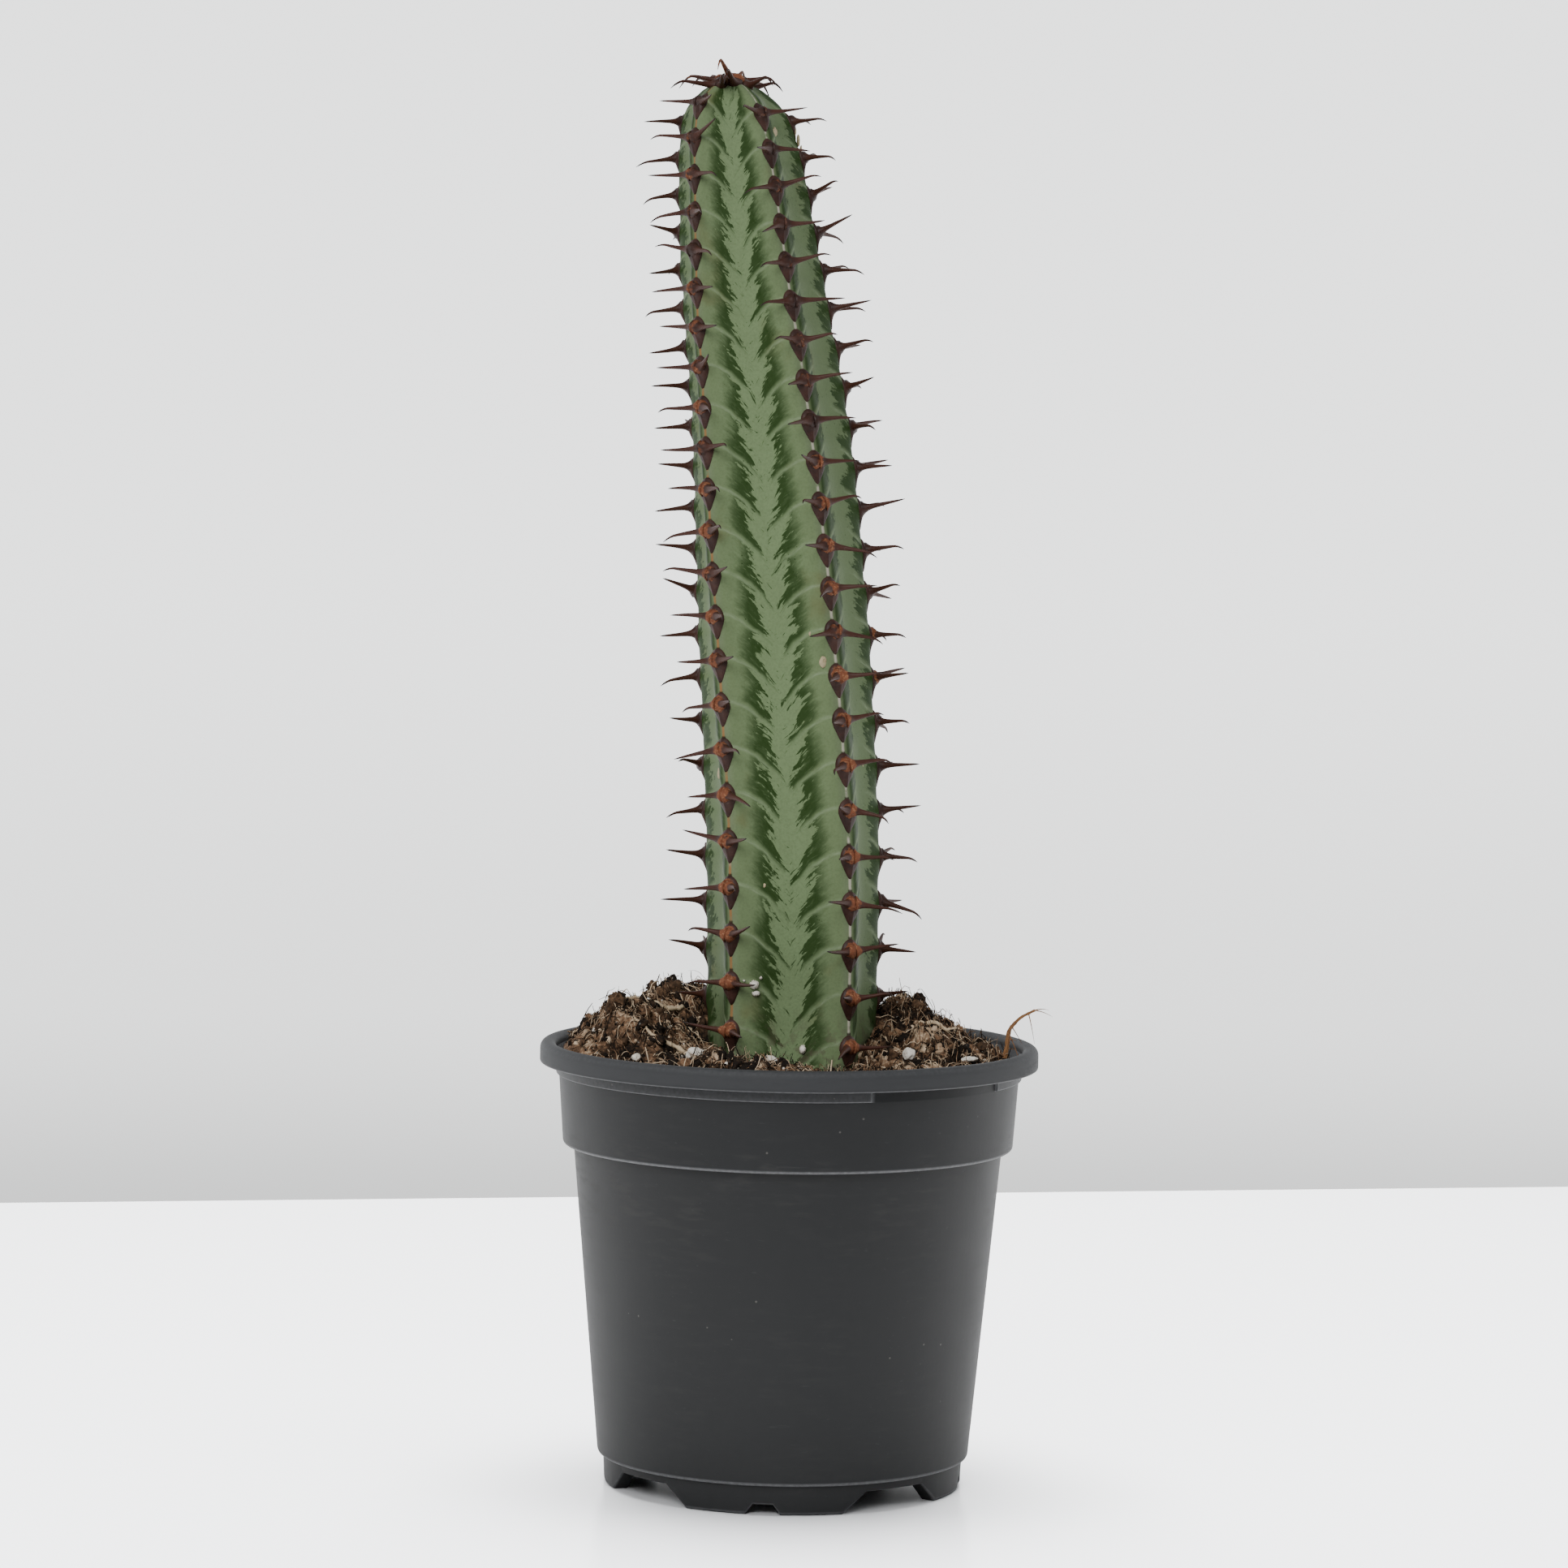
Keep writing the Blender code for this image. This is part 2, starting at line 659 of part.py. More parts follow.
def make_root(name, run, parts):
    """A bare root that follows the peat, clear of it by its own radius."""
    places = [spot(*place) for place in run]
    points = []
    for start, end in zip(places, places[1:]):
        for k in range(ROOT_STEPS):
            x, y = start.lerp(end, k / ROOT_STEPS)
            points.append((x, y, peat_height(x, y) + ROOT_RADIUS * ROOT_LIFT + GAP))
    last = len(points) - 1
    radii = [ROOT_RADIUS * (1 - ROOT_TAPER * k / last) for k in range(last + 1)]
    return make_tube(name, points, radii, parts, "root")


def make_twig(parts):
    x, y = spot(*TWIG_FOOT)
    base = peat_height(x, y) + GAP + TWIG_RADIUS * 0.5
    points = [(x + out, y, base + rise) for out, rise in TWIG_RISE]
    last = len(points) - 1
    radii = [TWIG_RADIUS * (1 - TWIG_TAPER * k / last) for k in range(last + 1)]
    return make_tube("dry_twig", points, radii, parts, "root")


# ---------------------------------------------------------------- the whole plant

def main():
    for made in list(bpy.data.objects):
        bpy.data.objects.remove(made, do_unlink=True)
    parts = bpy.data.collections.new("potted_euphorbia")
    pot_cutters = bpy.data.collections.new("pot_cutters")
    peat_cutters = bpy.data.collections.new("peat_cutters")
    for collection in (parts, pot_cutters, peat_cutters):
        bpy.context.scene.collection.children.link(collection)
    make_pot(parts, pot_cutters)
    make_peat(parts, peat_cutters)
    make_stem(parts)
    for rib in range(RIB_COUNT):
        make_spine_row(parts, rib)
    for k, place in enumerate(PERLITE, 1):
        make_grain(f"perlite_{k}", place, PERLITE_ROUGHNESS, k, parts, "perlite")
    for k, place in enumerate(BARK_CHIPS, 1):
        make_grain(f"bark_chip_{k}", place, BARK_ROUGHNESS, k, parts, "bark")
    for k, run in enumerate(ROOTS, 1):
        make_root(f"bare_root_{k}", run, parts)
    make_twig(parts)


main()
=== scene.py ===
"""Looks for a potted euphorbia: a ribbed green column with paired spines, in a nursery pot.

Metres, +Z up, in the frame of the CAD model. Azimuths are degrees round the pot's axis, 0 at -Y
and 90 at +X.
"""

import math

import bmesh
import bpy
import numpy as np
from bpy.props import FloatProperty, FloatVectorProperty, IntProperty, PointerProperty
from bpy.types import Operator, Panel, PropertyGroup
from mathutils import Matrix, Vector, noise


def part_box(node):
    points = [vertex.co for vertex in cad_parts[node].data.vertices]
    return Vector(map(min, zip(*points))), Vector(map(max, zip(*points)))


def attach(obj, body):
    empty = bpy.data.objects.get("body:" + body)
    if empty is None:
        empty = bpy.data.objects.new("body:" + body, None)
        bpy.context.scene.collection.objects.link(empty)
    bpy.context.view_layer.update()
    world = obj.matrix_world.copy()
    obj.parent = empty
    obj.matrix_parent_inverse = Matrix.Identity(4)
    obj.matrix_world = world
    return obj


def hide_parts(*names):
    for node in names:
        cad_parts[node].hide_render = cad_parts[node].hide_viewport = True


bl_info = {
    "name": "Potted Euphorbia",
    "version": (1, 0, 0),
    "blender": (4, 5, 0),
    "location": "3D View > Sidebar > Euphorbia",
    "description": "Builds a potted euphorbia round its CAD model",
    "category": "Object",
}

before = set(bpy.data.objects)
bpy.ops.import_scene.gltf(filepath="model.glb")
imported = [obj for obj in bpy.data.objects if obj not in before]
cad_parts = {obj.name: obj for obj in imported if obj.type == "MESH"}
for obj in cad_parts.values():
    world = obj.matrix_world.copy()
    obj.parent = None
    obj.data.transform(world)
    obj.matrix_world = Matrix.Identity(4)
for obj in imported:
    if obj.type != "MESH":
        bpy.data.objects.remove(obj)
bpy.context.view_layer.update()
POT_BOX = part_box("nursery_pot")
STEM_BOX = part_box("euphorbia_stem")
BODY = "root"

# The stem's shape, as stations of (share of its length, value), the same as in the CAD model.
STEM_FOOT = STEM_BOX[0].z
STEM_LENGTH = STEM_BOX[1].z - STEM_FOOT
STEM_RADIUS = 0.0264
LEAN = ((0.0, 0.0004), (0.155, 0.0003), (0.311, -0.0007), (0.541, -0.0056),
        (0.693, -0.0097), (0.807, -0.0144), (0.882, -0.0169), (0.953, -0.0193),
        (1.0, -0.0209))
GIRTH = ((0.0, 0.795), (0.027, 0.932), (0.155, 0.985), (0.311, 1.0), (0.541, 0.973),
         (0.693, 0.902), (0.807, 0.826), (0.882, 0.758), (0.922, 0.708), (0.953, 0.644),
         (0.978, 0.519), (0.993, 0.303), (1.0, 0.114))
TWIST = ((0.0, -1.0), (0.155, -1.0), (0.311, -2.3), (0.541, -6.0), (0.693, -8.5),
         (0.882, -6.5), (1.0, -6.0))
FRONT_HALF_ANGLE = ((0.0, 41.5), (0.311, 41.0), (0.693, 40.0), (0.882, 37.5), (1.0, 36.0))
RIBS = ("front_left", "front_right", "right", "back", "left")
RIB_COUNT = len(RIBS)
FACE_HOLLOW = 0.0022
FULL_RADIUS = 0.020
CREST_ROUND = 0.0010
CREST_SPREAD = 0.05

# How far from a crest, as a share of the face, it dips between two podaria.
SCALLOP_SPREAD = 0.13

# Podaria: the lowest one above the peat, the pitch there, how it shrinks, each rib's phase, and
# what stays bare at the foot and at the tip.
PEAT_LEVEL = STEM_FOOT + 0.0222
FIRST_PODARIUM = 0.0104
PODARIUM_PITCH = 0.0136
PITCH_DECAY = 0.0143
RIB_PHASE = (0.0, -0.29, -0.42, 0.25, -0.46)
BARE_FOOT = 0.0045
BARE_TIP = 0.0065

# Peat: how it sinks at the wall, its lumps as (rise, grain, octaves, seed), and its heaps as
# (azimuth, share of the way from the stem to the wall, rise, spread).
PEAT_RADIUS = 0.0634
PEAT_EDGE_SINK = 0.0010
PEAT_EDGE_SPREAD = 0.003
PEAT_EDGE_ROOM = 0.012
PEAT_LUMPS = ((0.0030, 0.0085, 4, 3.1), (0.0011, 0.0024, 3, 7.7))
PEAT_HEAPS = (
    (-128.7, 0.335, 0.0190, 0.0135),
    (-85.0, 0.544, 0.0150, 0.0120),
    (115.8, 0.227, 0.0165, 0.0110),
    (85.1, 0.571, 0.0050, 0.0120),
    (-22.8, 0.411, 0.0045, 0.0130),
    (177.5, 0.540, 0.0085, 0.0150),
)

# Bare roots that lie over the heaps, as (azimuth, share) knots.
ROOTS = (
    ((-56.3, 0.174), (-62.7, 0.240), (-64.1, 0.348), (-69.0, 0.425), (-73.2, 0.510)),
    ((-104.9, 0.136), (-98.6, 0.199), (-94.8, 0.273), (-92.9, 0.379), (-87.5, 0.513),
     (-82.9, 0.603)),
    ((93.2, 0.271), (95.7, 0.383), (93.9, 0.488), (97.1, 0.603)),
)


# ---------------------------------------------------------------- shader maths

class Wire:
    """A shader socket. Python's operators on it add Math nodes to its tree."""

    def __init__(self, shading, socket):
        self.shading = shading
        self.socket = socket

    def math(self, operation, *values, clamp=False):
        settings = {"operation": operation, "use_clamp": clamp}
        return self.shading.node("ShaderNodeMath", settings, dict(enumerate(values)))

    def __add__(self, other):
        return self.math("ADD", self, other)

    def __sub__(self, other):
        return self.math("SUBTRACT", self, other)

    def __rsub__(self, other):
        return self.math("SUBTRACT", other, self)

    def __mul__(self, other):
        return self.math("MULTIPLY", self, other)

    def __pow__(self, other):
        return self.math("POWER", self, other)

    def __gt__(self, other):
        return self.math("GREATER_THAN", self, other)

    __radd__ = __add__
    __rmul__ = __mul__

    def fraction(self):
        return self.math("FRACT", self)

    def least(self, other):
        return self.math("MINIMUM", self, other)

    def clamped(self):
        return self.math("ADD", self, 0.0, clamp=True)

    def rise(self, low, high):
        """0 below low, 1 above high, and smooth between them. Either may be a Wire."""
        return self.shading.node("ShaderNodeMapRange", {"interpolation_type": "SMOOTHSTEP"},
                                 {0: self, 1: low, 2: high, 3: 0.0, 4: 1.0})

    def fall(self, low, high):
        return 1.0 - self.rise(low, high)


class Shading:
    """The means to add nodes to a material's or a world's tree."""

    def __init__(self, owner, coordinates):
        owner.use_nodes = True
        self.tree = owner.node_tree
        self.place = self.node("ShaderNodeTexCoord", output=coordinates)

    def plug(self, entry, value):
        """Link a Wire to a node's input, or set the input to a number, vector or colour."""
        if isinstance(value, Wire):
            self.tree.links.new(value.socket, entry)
        elif entry.type == "RGBA":
            entry.default_value = (*value[:3], 1.0)
        else:
            entry.default_value = value

    def node(self, kind, settings=None, inputs=None, output=0):
        """Any node: its type, its settings, its sockets' values or links, and which output."""
        made = self.tree.nodes.new(kind)
        for name, value in (settings or {}).items():
            if name == "stops":
                fill_ramp(made.color_ramp, value)
            else:
                setattr(made, name, value)
        for key, value in (inputs or {}).items():
            self.plug(made.inputs[key], value)
        return Wire(self, made.outputs[output])

    def value(self, name):
        return self.node("ShaderNodeAttribute", {"attribute_name": name}, output="Fac")

    def axes(self, names, place=None):
        """The named coordinates of a place."""
        split = self.node("ShaderNodeSeparateXYZ", None, {"Vector": place or self.place})
        return [Wire(self, split.socket.node.outputs[name]) for name in names]

    def pair(self, name):
        """The two numbers of a corner map."""
        return self.axes("XY", self.node("ShaderNodeUVMap", {"uv_map": name}))

    def vector(self, x, y, z):
        return self.node("ShaderNodeCombineXYZ", None, {"X": x, "Y": y, "Z": z})

    def grain(self, size, detail=3.0, place=None, roughness=0.55):
        """Noise from 0 to 1 whose grain has a size in metres, or in units of another place."""
        inputs = {"Vector": place or self.place, "Scale": 1.0 / size, "Detail": detail,
                  "Roughness": roughness}
        return self.node("ShaderNodeTexNoise", None, inputs)

    def spots(self, size, reach, place=None):
        """1 at the middle of scattered spots, falling to 0 at a share of their spacing."""
        cell = self.node("ShaderNodeTexVoronoi", None,
                         {"Vector": place or self.place, "Scale": 1.0 / size}, "Distance")
        return cell.fall(reach * 0.5, reach)

    def mix(self, first, second, factor, blend="MIX"):
        inputs = {0: factor, 6: first, 7: second}
        return self.node("ShaderNodeMix", {"data_type": "RGBA", "blend_type": blend}, inputs, 2)

    def ramp(self, factor, *stops):
        return self.node("ShaderNodeValToRGB", {"stops": stops}, {"Fac": factor})


class Paint(Shading):
    """A material with one Principled shader."""

    def __init__(self, name, **constants):
        self.material = bpy.data.materials.new(name)
        super().__init__(self.material, "Object")
        self.shader = self.tree.nodes["Principled BSDF"]
        for socket, value in constants.items():
            self.set(socket.replace("_", " "), value)

    def set(self, socket, value):
        self.plug(self.shader.inputs[socket], value)

    def finish(self, colour, roughness, height=None, depth=0.0, strength=1.0):
        """Set what changes over the surface. Height is 0 to 1, and depth is its size."""
        self.set("Base Color", colour)
        self.set("Roughness", roughness)
        if height is not None:
            bump = self.node("ShaderNodeBump", None, {"Strength": strength, "Distance": depth,
                                                      "Height": height})
            self.set("Normal", bump)
        return self.material


def shade(colour, share):
    """A colour made darker or lighter by a share."""
    return tuple(channel * share for channel in colour)


def fill_ramp(ramp, stops):
    while len(ramp.elements) < len(stops):
        ramp.elements.new(1.0)
    for element, (position, colour) in zip(ramp.elements, stops):
        element.position = position
        element.color = (*colour, 1.0)


# ---------------------------------------------------------------- meshes from grids

class Bundle:
    """Grids of points gathered into one mesh. Each grid has its own square of the map."""

    def __init__(self, cells=None):
        self.cells = cells
        self.points = []
        self.faces = []
        self.corners = []
        self.maps = {}
        self.values = {}
        self.count = 0
        self.grids = 0

    def add(self, grids, wrap=(False, True), capped=True, maps=None, rows_at=None, **values):
        """Grids shaped (grids, rows, columns, 3), joined round along the axes in wrap.

        A capped grid has its first and last rows closed. Values are numbers at its points."""
        grids = np.asarray(grids, float)
        if grids.ndim == 3:
            grids = grids[None]
        number, rows, columns = grids.shape[:3]
        down, across = rows - 1 + wrap[0], columns - 1 + wrap[1]
        i, j = (a.ravel() for a in np.meshgrid(range(down), range(across), indexing="ij"))
        nexti, nextj = (i + 1) % rows, (j + 1) % columns
        quads = np.stack([i * columns + j, i * columns + nextj, nexti * columns + nextj,
                          nexti * columns + j], -1)
        starts = self.count + np.arange(number) * rows * columns
        self.faces += (starts[:, None, None] + quads).reshape(-1, 4).tolist()
        square = np.stack([np.stack([j, i], -1), np.stack([j + 1, i], -1),
                           np.stack([j + 1, i + 1], -1), np.stack([j, i + 1], -1)], 1)
        square = square.reshape(-1, 2) / (across, down)
        if rows_at is not None:
            square[:, 1] = rows_at[np.round(square[:, 1] * down).astype(int)]
        owners = self.grids + np.arange(number)
        self.corners.append((np.repeat(owners, len(square)), np.tile(square, (number, 1))))
        for title, grid in (maps or {}).items():
            picked = np.stack([grid[i, j], grid[i, j + 1], grid[i + 1, j + 1], grid[i + 1, j]], 1)
            self.maps.setdefault(title, []).append(np.tile(picked.reshape(-1, 2), (number, 1)))
        if capped:
            self.cap(starts, rows, columns, owners, maps)
        for title, value in values.items():
            spread = np.broadcast_to(value, grids.shape[:3]).ravel()
            self.values.setdefault(title, []).append(spread)
        self.points.append(grids.reshape(-1, 3))
        self.count += number * rows * columns
        self.grids += number

    def cap(self, starts, rows, columns, owners, maps):
        around = np.arange(columns)
        for ring, end in ((around[::-1], 0.0), (around + (rows - 1) * columns, 1.0)):
            self.faces += (starts[:, None] + ring).tolist()
            square = np.stack([around / columns, np.full(columns, end)], -1)
            self.corners.append((np.repeat(owners, columns), np.tile(square, (len(starts), 1))))
            for title in maps or {}:
                self.maps[title].append(np.zeros((columns * len(starts), 2)))

    def mesh(self, name, sharp=None, weld=0.0):
        mesh = bpy.data.meshes.new(name)
        mesh.from_pydata(np.concatenate(self.points), [], self.faces)
        side = math.ceil(math.sqrt(self.grids))
        across, down = self.cells or (side, side)
        margin = 0.01 if self.cells else 0.08
        owners = np.concatenate([o for o, _ in self.corners])
        inner = np.concatenate([s for _, s in self.corners]) * (1 - 2 * margin) + margin
        cells = np.stack([owners % across, owners // across], -1)
        maps = {"OFBake": (cells + inner) / (across, down)}
        maps.update({title: np.concatenate(parts) for title, parts in self.maps.items()})
        for title, corners in maps.items():
            layer = mesh.uv_layers.new(name=title)
            layer.data.foreach_set("uv", corners.ravel().astype(np.float32))
        for title, parts in self.values.items():
            made = mesh.attributes.new(title, "FLOAT", "POINT")
            made.data.foreach_set("value", np.concatenate(parts).astype(np.float32))
        if weld:
            weld_points(mesh, weld)
        mesh.shade_smooth()
        if sharp:
            mesh.set_sharp_from_angle(angle=math.radians(sharp))
        mesh.validate()
        return mesh

    def put(self, name, material, slot, *stands_for, sharp=None, weld=0.0):
        """Put the mesh on the CAD body, instead of the CAD nodes it stands for."""
        mesh = self.mesh(name, sharp, weld)
        mesh.materials.append(material)
        piece = linked(name, mesh)
        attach(piece, BODY)
        if stands_for:
            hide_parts(*stands_for)
        return piece


def linked(name, data):
    """A new object in the scene."""
    made = bpy.data.objects.new(name, data)
    bpy.context.scene.collection.objects.link(made)
    return made


def weld_points(mesh, distance):
    bm = bmesh.new()
    bm.from_mesh(mesh)
    bmesh.ops.remove_doubles(bm, verts=bm.verts, dist=distance)
    bm.to_mesh(mesh)
    bm.free()


def rough(points, size, octaves=3, seed=0.0):
    """Fractal noise of about -1 to 1 at each point of an array, with a grain of that size."""
    points = np.asarray(points, float)
    flat = points.reshape(-1, 3) / size + seed
    made = [noise.fractal(Vector(p), 1.0, 2.0, octaves) for p in flat]
    return np.array(made).reshape(points.shape[:-1])


def tubes(paths, radii, sides):
    """Grids round paths shaped (tubes, points, 3), with radii shaped (tubes, points)."""
    paths = np.asarray(paths, float)
    along_path = np.gradient(paths, axis=1)
    along_path /= np.linalg.norm(along_path, axis=-1, keepdims=True) + 1e-12
    guide = np.where(np.abs(along_path[:, :1, 2:3]) > 0.8, (1.0, 0.0, 0.0), (0.0, 0.0, 1.0))
    first = np.cross(along_path, guide)
    first /= np.linalg.norm(first, axis=-1, keepdims=True) + 1e-12
    second = np.cross(along_path, first)
    turn = np.arange(sides) * 2 * math.pi / sides
    ring = (first[:, :, None] * np.cos(turn)[:, None] + second[:, :, None] * np.sin(turn)[:, None])
    return paths[:, :, None] + ring * np.asarray(radii)[:, :, None, None]


def balls(centres, sizes, rows, columns):
    """Grids of spheres with these centres and half sizes, shaped (balls, 3)."""
    down = (np.arange(rows) + 0.35) / (rows - 0.3) * math.pi
    turn = np.arange(columns) * 2 * math.pi / columns
    unit = np.stack([np.outer(np.sin(down), np.cos(turn)), np.outer(np.sin(down), np.sin(turn)),
                     np.outer(np.cos(down), np.ones(columns))], -1)
    return centres[:, None, None] + unit[::-1] * sizes[:, None, None]


UP = np.array((0.0, 0.0, 1.0))


def unit(vector):
    return vector / np.linalg.norm(vector)


def dot(first, second):
    return (first * second).sum(-1, keepdims=True)


def towards(azimuth, radius=1.0, z=0.0):
    """Points at azimuths, radii and heights."""
    angle = np.radians(azimuth)
    parts = np.broadcast_arrays(radius * np.sin(angle), -radius * np.cos(angle), z)
    return np.stack(parts, -1)


# ---------------------------------------------------------------- the stem's shape

def along(stations, height):
    """A smooth curve through the stem's stations, read at heights above the floor."""
    share = np.clip((np.asarray(height, float) - STEM_FOOT) / STEM_LENGTH, 0.0, 1.0)
    at, value = np.array(stations).T
    slope = np.gradient(value, at)
    slope[1:-1] = (value[2:] - value[:-2]) / (at[2:] - at[:-2])
    k = np.clip(np.searchsorted(at, share) - 1, 0, len(at) - 2)
    span = at[k + 1] - at[k]
    t = (share - at[k]) / span
    return ((2 * t**3 - 3 * t**2 + 1) * value[k] + (t**3 - 2 * t**2 + t) * span * slope[k]
            + (3 * t**2 - 2 * t**3) * value[k + 1] + (t**3 - t**2) * span * slope[k + 1])


def rib_azimuth(rib, height):
    turn, half = along(TWIST, height), along(FRONT_HALF_ANGLE, height)
    other = (360.0 - 2 * half) / (RIB_COUNT - 1)
    return turn - half if rib == 0 else turn + half + other * (rib - 1)


def podarium_height(rib, number):
    count = number + RIB_PHASE[rib]
    climbed = PODARIUM_PITCH / PITCH_DECAY * (1 - np.exp(-PITCH_DECAY * count))
    return PEAT_LEVEL + FIRST_PODARIUM + climbed


def podarium_count(rib, height):
    """The number of podaria up a rib to a height, with its fraction."""
    climbed = np.asarray(height, float) - PEAT_LEVEL - FIRST_PODARIUM
    rest = np.clip(1 - climbed * PITCH_DECAY / PODARIUM_PITCH, 0.05, None)
    return -np.log(rest) / PITCH_DECAY - RIB_PHASE[rib]


def stem_centre(height):
    lean = along(LEAN, height)
    return np.stack([lean, np.zeros_like(lean), np.asarray(height, float) + 0 * lean], -1)


def surface(rib, share, height, offset=0.0, scallop=0.0):
    """Points on the stem between a rib's crest (share 0) and the next rib's (share 1).

    A negative share is on the face before the rib. The offset stands off the surface."""
    share, height, offset = np.broadcast_arrays(
        np.asarray(share, float), np.asarray(height, float), np.asarray(offset, float))
    if (share < 0).any():
        before = surface((rib - 1) % RIB_COUNT, 1 + np.minimum(share, 0), height, offset, scallop)
        after = surface(rib, np.maximum(share, 0), height, offset, scallop)
        return np.where((share < 0)[..., None], before, after)
    following = (rib + 1) % RIB_COUNT
    radius = STEM_RADIUS * along(GIRTH, height)
    centre = stem_centre(height)
    out_start = towards(rib_azimuth(rib, height))
    out_end = towards(rib_azimuth(following, height))
    size = np.minimum(1.0, radius / FULL_RADIUS)[..., None]
    reach = (radius + CREST_ROUND)[..., None]
    face_out = out_start + out_end
    face_out /= np.linalg.norm(face_out, axis=-1, keepdims=True)
    part, offset = share[..., None], offset[..., None]
    point = centre + reach * (out_start * (1 - part) + out_end * part)
    point -= face_out * FACE_HOLLOW * size * np.sin(math.pi * part) ** 2
    for near, out, distance in ((rib, out_start, part), (following, out_end, 1 - part)):
        corner = np.exp(-((distance / CREST_SPREAD) ** 2))
        point += out * (offset - size * CREST_ROUND) * corner - face_out * offset * corner
        phase = podarium_count(near, height)[..., None]
        dip = 0.5 - 0.5 * np.cos(2 * math.pi * (phase + 0.10 * np.sin(2 * math.pi * phase)))
        point -= out * scallop * size * dip * np.exp(-((distance / SCALLOP_SPREAD) ** 2))
    return point + face_out * offset


def spot(azimuth, share):
    """The (x, y) of a spot on the peat between the stem and the wall."""
    return towards(azimuth, STEM_RADIUS + share * (PEAT_RADIUS - STEM_RADIUS))[..., :2]


def peat_height(x, y, coarse=1.0):
    """Height of the peat: its heaps, the way it sinks at the wall, and its lumps."""
    x, y = np.asarray(x, float), np.asarray(y, float)
    height = np.full(x.shape, PEAT_LEVEL)
    for azimuth, share, rise, spread in PEAT_HEAPS:
        heap_x, heap_y = spot(azimuth, share)
        height = height + rise * np.exp(-((x - heap_x) ** 2 + (y - heap_y) ** 2) / (2 * spread**2))
    edge = PEAT_RADIUS - np.hypot(x, y)
    height = height - PEAT_EDGE_SINK * np.exp(-edge / PEAT_EDGE_SPREAD)
    flat = np.stack([x, y, np.zeros_like(x)], -1)
    room = np.clip(edge / PEAT_EDGE_ROOM, 0.15, 1.0)
    lumps = sum(rise * rough(flat, *grain) for rise, *grain in PEAT_LUMPS)
    return height + coarse * lumps * room


def rib_podaria(rib):
    """Numbers of the podaria on a rib, from just clear of the peat to just under the tip."""
    clear = []
    for number in range(round(2 * STEM_LENGTH / PODARIUM_PITCH)):
        height = podarium_height(rib, number)
        if height > STEM_FOOT + STEM_LENGTH - BARE_TIP:
            break
        foot = surface(rib, 0.0, height)
        if height > peat_height(foot[0], foot[1], 0.0) + BARE_FOOT:
            clear.append(number)
    return clear


# ---------------------------------------------------------------- what a user may change

def colour(name, default):
    return FloatVectorProperty(name=name, description=f"{name}, linear", default=default,
                               subtype="COLOR", min=0.0, max=1.0)


def length(name, description, default):
    return FloatProperty(name=name, description=description, default=default, min=0.0,
                         subtype="DISTANCE", unit="LENGTH")


def count(name, description, default):
    return IntProperty(name=name, description=description, default=default, min=0)


class PotSettings(PropertyGroup):
    rim_radius: length("Rim radius", "Outer radius of the lip", POT_BOX[1].x)
    height: length("Height", "From the floor to the top of the lip", POT_BOX[1].z)
    plastic: colour("Plastic colour", (0.0205, 0.0213, 0.0228))
    # Pale colour of scratched wear, and of the painted highlights along the pot's rounded edges.
    scuff_and_highlight: colour("Scuffed plastic colour", (0.200, 0.205, 0.215))
    dust: FloatProperty(name="Dust", description="How much dust lies on the plastic",
                        default=0.5, min=0.0, max=1.0, subtype="FACTOR")


class StemSettings(PropertyGroup):
    scallop: length("Scallop", "How far a rib dips between its podaria", 0.0010)
    pale: colour("Pale green", (0.188, 0.264, 0.132))
    flank: colour("Flank green", (0.164, 0.224, 0.110))
    dark: colour("Dark green", (0.024, 0.052, 0.012))
    vein: colour("Vein colour", (0.265, 0.335, 0.210))
    cork: colour("Corky rib colour", (0.330, 0.165, 0.065))


class SpineSettings(PropertyGroup):
    length: length("Spine length", "Length of a full-grown spine", 0.0122)
    spread: FloatProperty(name="Spread", description="Angle between a spine and its rib's way out",
                          default=math.radians(60), subtype="ANGLE", unit="ROTATION")
    crown_count: count("Crown spines", "Young spines in the crown tuft", 15)
    horn: colour("Horn colour", (0.032, 0.0135, 0.010))
    red: colour("Spine colour", (0.070, 0.022, 0.013))
    rust: colour("Corky patch colour", (0.250, 0.082, 0.035))


class PeatSettings(PropertyGroup):
    crumbs: count("Crumbs", "Loose crumbs on the peat", 2900)
    fibres: count("Fibres", "Loose fibres on the peat", 6100)
    dark: colour("Dark peat colour", (0.011, 0.007, 0.0045))
    brown: colour("Brown peat colour", (0.190, 0.108, 0.060))
    straw: colour("Straw colour", (0.720, 0.560, 0.390))


class StageSettings(PropertyGroup):
    floor: colour("Floor colour", (0.87, 0.88, 0.90))
    wall: colour("Wall colour", (0.78, 0.79, 0.79))
    light: FloatProperty(name="Light", description="Strength of all the lamps", default=1.0,
                         min=0.0)


# ---------------------------------------------------------------- pot

DRAIN_RADIUS = 0.0045
DRAIN_REACH = 0.0374
FOOT_COUNT = 4
FOOT_AZIMUTH = -6.0
FOOT_HALF_ANGLES = (25.6, 33.6)
FOOT_GAP_HEIGHT = 0.0059
FOOT_HEIGHT = 0.0082
NOTCH_HALF_WIDTHS = (0.0027, 0.00465)
NOTCH_HEIGHT = 0.0028
FOOT_RADIUS = 0.0480
COLLAR_INSET = 0.0054
LIP_INSET = 0.0046
BAND_GAPS = ((20.0, 61.5), (200.0, 241.5))
BAND_HEIGHTS = (0.0096, 0.0048)
# Painted highlight along the band where it stands out.
BAND_EDGE_HIGHLIGHT = 0.30


